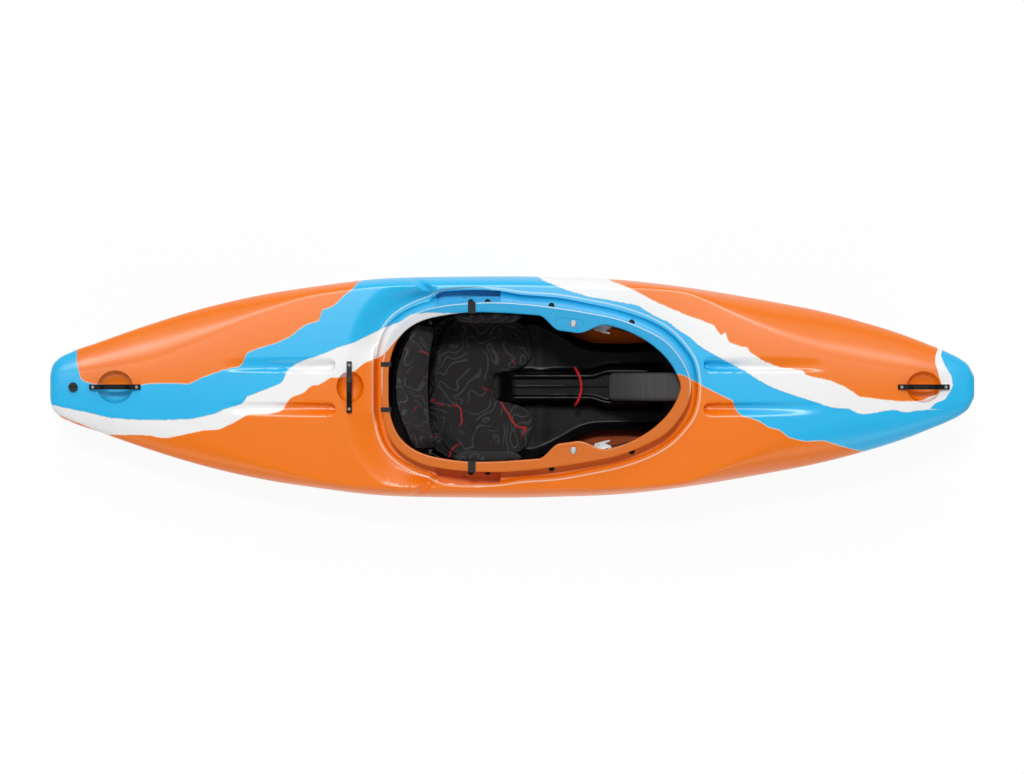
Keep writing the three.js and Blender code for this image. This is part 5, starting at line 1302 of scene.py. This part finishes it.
class HardwarePieces(bpy.types.Operator):
    """Finishes bars, bolts, drain plug, ratchets, rails and straps."""

    bl_idname = "kayak.hardware"
    bl_label = "Bars, bolts and fittings"

    def execute(self, context):
        tones = context.scene.kayak_colours
        bar = moulded_finish("bar_plastic", tones.bar, linear(40, 41, 42), 0.3)
        finish_nodes(bar, "stern_bar", "bow_bar", "rear_bar")
        dark = steel_finish("dark_steel", linear(132, 132, 134), 0.36)
        bolts = [f"{end}_bar_bolt_{i}" for end in ("stern", "bow", "rear") for i in (1, 2)]
        finish_nodes(dark, "band_pivot", *bolts)
        black = moulded_finish("bolt_black", linear(18, 18, 18), linear(70, 70, 70), 0.3)
        finish_nodes(black, "hip_bolt_rear", "hip_bolt_front", "thigh_bolt", "guide_bolt")
        steel = steel_finish("stainless_steel", linear(196, 197, 199))
        finish_nodes(steel, "hook_bolt", "ratchet_base", "ratchet_pin", "ratchet_lever")
        plug = moulded_finish("plug_plastic", linear(44, 40, 40), linear(80, 78, 78), 0.5)
        finish_nodes(plug, "drain_plug")
        gasket = moulded_finish("gasket_rubber", linear(14, 14, 14), linear(30, 30, 30), 0.7)
        finish_nodes(gasket, "drain_gasket")
        rail = steel_finish("anodised_rail", linear(170, 172, 175), 0.4)
        finish_nodes(rail, "seat_rail", "footrest_rail")
        strap = moulded_finish("strap_plastic", linear(20, 20, 21), linear(64, 64, 66), 0.34)
        finish_nodes(strap, "ladder_strap")
        return {"FINISHED"}


class OutfittingPieces(bpy.types.Operator):
    """Finishes the seat pan, hip plates, braces and footrest."""

    bl_idname = "kayak.outfitting"
    bl_label = "Outfitting"

    def execute(self, context):
        tones = context.scene.kayak_colours
        pan = moulded_finish("outfitting_plastic", tones.outfitting, linear(26, 26, 27), 0.24)
        finish_nodes(pan, "backband_shell", "footrest_plate", "hip_plate", "thigh_brace", "footrest_guide")
        dressed(seat_pan(), pan_finish(tones), "seat", ["seat_pan"])
        return {"FINISHED"}


class CushionPieces(bpy.types.Operator):
    """Makes the seat pad, the backband's pad and the hip pads."""

    bl_idname = "kayak.cushions"
    bl_label = "Cushions"

    def execute(self, context):
        sizes = context.scene.kayak_sizes
        fabric = printed_finish(context.scene.kayak_colours)
        cushions = [("seat_cushion", "seat_pad", "seat", 1),
                    ("backband_cushion", "backband_pad", "backband", 0.5)]
        cushions += [(f"hip_cushion_{side}", f"hip_pad_{side}", "hull", 0.5) for side in SIDES]
        for name, node, body, share in cushions:
            made = plumped(name, node, sizes.voxel, sizes.swell * share)
            dressed(made, fabric, body, [node])
        return {"FINISHED"}


class FoamPieces(bpy.types.Operator):
    """Makes the foam pillars, thigh pads and the footrest's foam."""

    bl_idname = "kayak.foam"
    bl_label = "Foam"

    def execute(self, context):
        tones = context.scene.kayak_colours
        foam = foam_finish("foam_sheet", tones.foam)
        ribbed = foam_finish("foam_block", tones.foam, True)
        blocks = [("front_foam_pillar", "front_pillar", "seat", ribbed, 0.006),
                  ("rear_foam_pillar", "rear_pillar", "hull", ribbed, 0.004),
                  ("footrest_foam_pad", "footrest_foam", "footrest", foam, 0.002)]
        blocks += [(f"thigh_foam_{side}", f"thigh_pad_{side}", f"thigh_brace_{side}", foam, 0.001)
                   for side in SIDES]
        for name, node, body, material, width in blocks:
            dressed(rounded_copy(name, node, width), material, body, [node])
        return {"FINISHED"}


class BandPieces(bpy.types.Operator):
    """Finishes the webbing bands and the console's elastic cord."""

    bl_idname = "kayak.bands"
    bl_label = "Webbing and cord"

    def execute(self, context):
        tones = context.scene.kayak_colours
        band = woven_finish("band_weave", linear(18, 18, 19), linear(58, 58, 60))
        finish_nodes(band, "side_webbing", "rear_webbing")
        finish_nodes(woven_finish("cord_braid", tones.cord, linear(120, 18, 20)), "console_cord")
        return {"FINISHED"}


class StagePieces(bpy.types.Operator):
    """Makes the ground, the lamps and the camera."""

    bl_idname = "kayak.stage"
    bl_label = "Stage"

    def execute(self, context):
        scene = context.scene
        settings = scene.kayak_stage
        scene.view_settings.view_transform = "Standard"
        corners = [(-GROUND, -GROUND, 0), (GROUND, -GROUND, 0), (GROUND, GROUND, 0), (-GROUND, GROUND, 0)]
        floor = mesh_object("ground", corners, [(0, 1, 2, 3)], 1)
        floor.location.z = -FLOOR_GAP
        floor.data.materials.append(floor_finish())
        data = bpy.data.cameras.new("camera")
        data.lens = settings.lens
        data.clip_end = 100
        scene.camera = linked("camera", data)
        x, y, rise = CAMERA_SHIFT
        scene.camera.location = (x, y, settings.camera_height + rise)
        scene.world = bpy.data.worlds.new("sky")
        scene.world.use_nodes = True
        background = scene.world.node_tree.nodes["Background"].inputs
        background["Color"].default_value = (1, 1, 1, 1)
        background["Strength"].default_value = settings.world
        sun = bpy.data.lights.new("sun_lamp", "SUN")
        sun.energy = settings.sun
        sun.angle = SUN_ANGLE
        linked("sun_lamp", sun).rotation_euler = SUN_TURN
        for name, place, depth, power in (("key_lamp", (0, 2.9, 2.6), 2.2, settings.key),
                                          ("fill_lamp", (0, -3.1, 1.6), 1.2, settings.key * 0.8)):
            lamp = bpy.data.lights.new(name, "AREA")
            lamp.shape = "RECTANGLE"
            lamp.size, lamp.size_y = LAMP_WIDTH, depth
            lamp.energy = power
            made = linked(name, lamp)
            made.location = place
            aim = Vector(LAMP_TARGET) - Vector(place)
            made.rotation_euler = aim.to_track_quat("-Z", "Y").to_euler()
        return {"FINISHED"}


class KayakPanel(bpy.types.Panel):
    """Lists the pieces of the kayak and their settings."""

    bl_idname = "VIEW3D_PT_kayak"
    bl_label = "Kayak"
    bl_space_type = "VIEW_3D"
    bl_region_type = "UI"
    bl_category = "Kayak"

    def draw(self, context):
        scene = context.scene
        for group in (scene.kayak_colours, scene.kayak_sizes, scene.kayak_stage):
            for name in group.bl_rna.properties.keys():
                if name not in ("rna_type", "name"):
                    self.layout.prop(group, name)
        for piece in PIECES:
            self.layout.operator(piece.bl_idname)


PIECES = (StagePieces, ShellPiece, HardwarePieces, OutfittingPieces, CushionPieces, FoamPieces, BandPieces)
GROUPS = {"kayak_colours": KayakColours, "kayak_sizes": KayakSizes, "kayak_stage": StageSettings}


def register():
    """Registers the classes and the scene's settings."""
    for made in (*GROUPS.values(), *PIECES, KayakPanel):
        bpy.utils.register_class(made)
    for name, group in GROUPS.items():
        setattr(bpy.types.Scene, name, bpy.props.PointerProperty(type=group))


def unregister():
    """Takes the classes and settings away."""
    for name in GROUPS:
        delattr(bpy.types.Scene, name)
    for made in reversed((*GROUPS.values(), *PIECES, KayakPanel)):
        bpy.utils.unregister_class(made)


def main():
    """Builds every piece in order."""
    register()
    bpy.ops.kayak.stage()
    bpy.ops.kayak.shell()
    bpy.ops.kayak.hardware()
    bpy.ops.kayak.outfitting()
    bpy.ops.kayak.cushions()
    bpy.ops.kayak.foam()
    bpy.ops.kayak.bands()


if __name__ == "__main__":
    main()
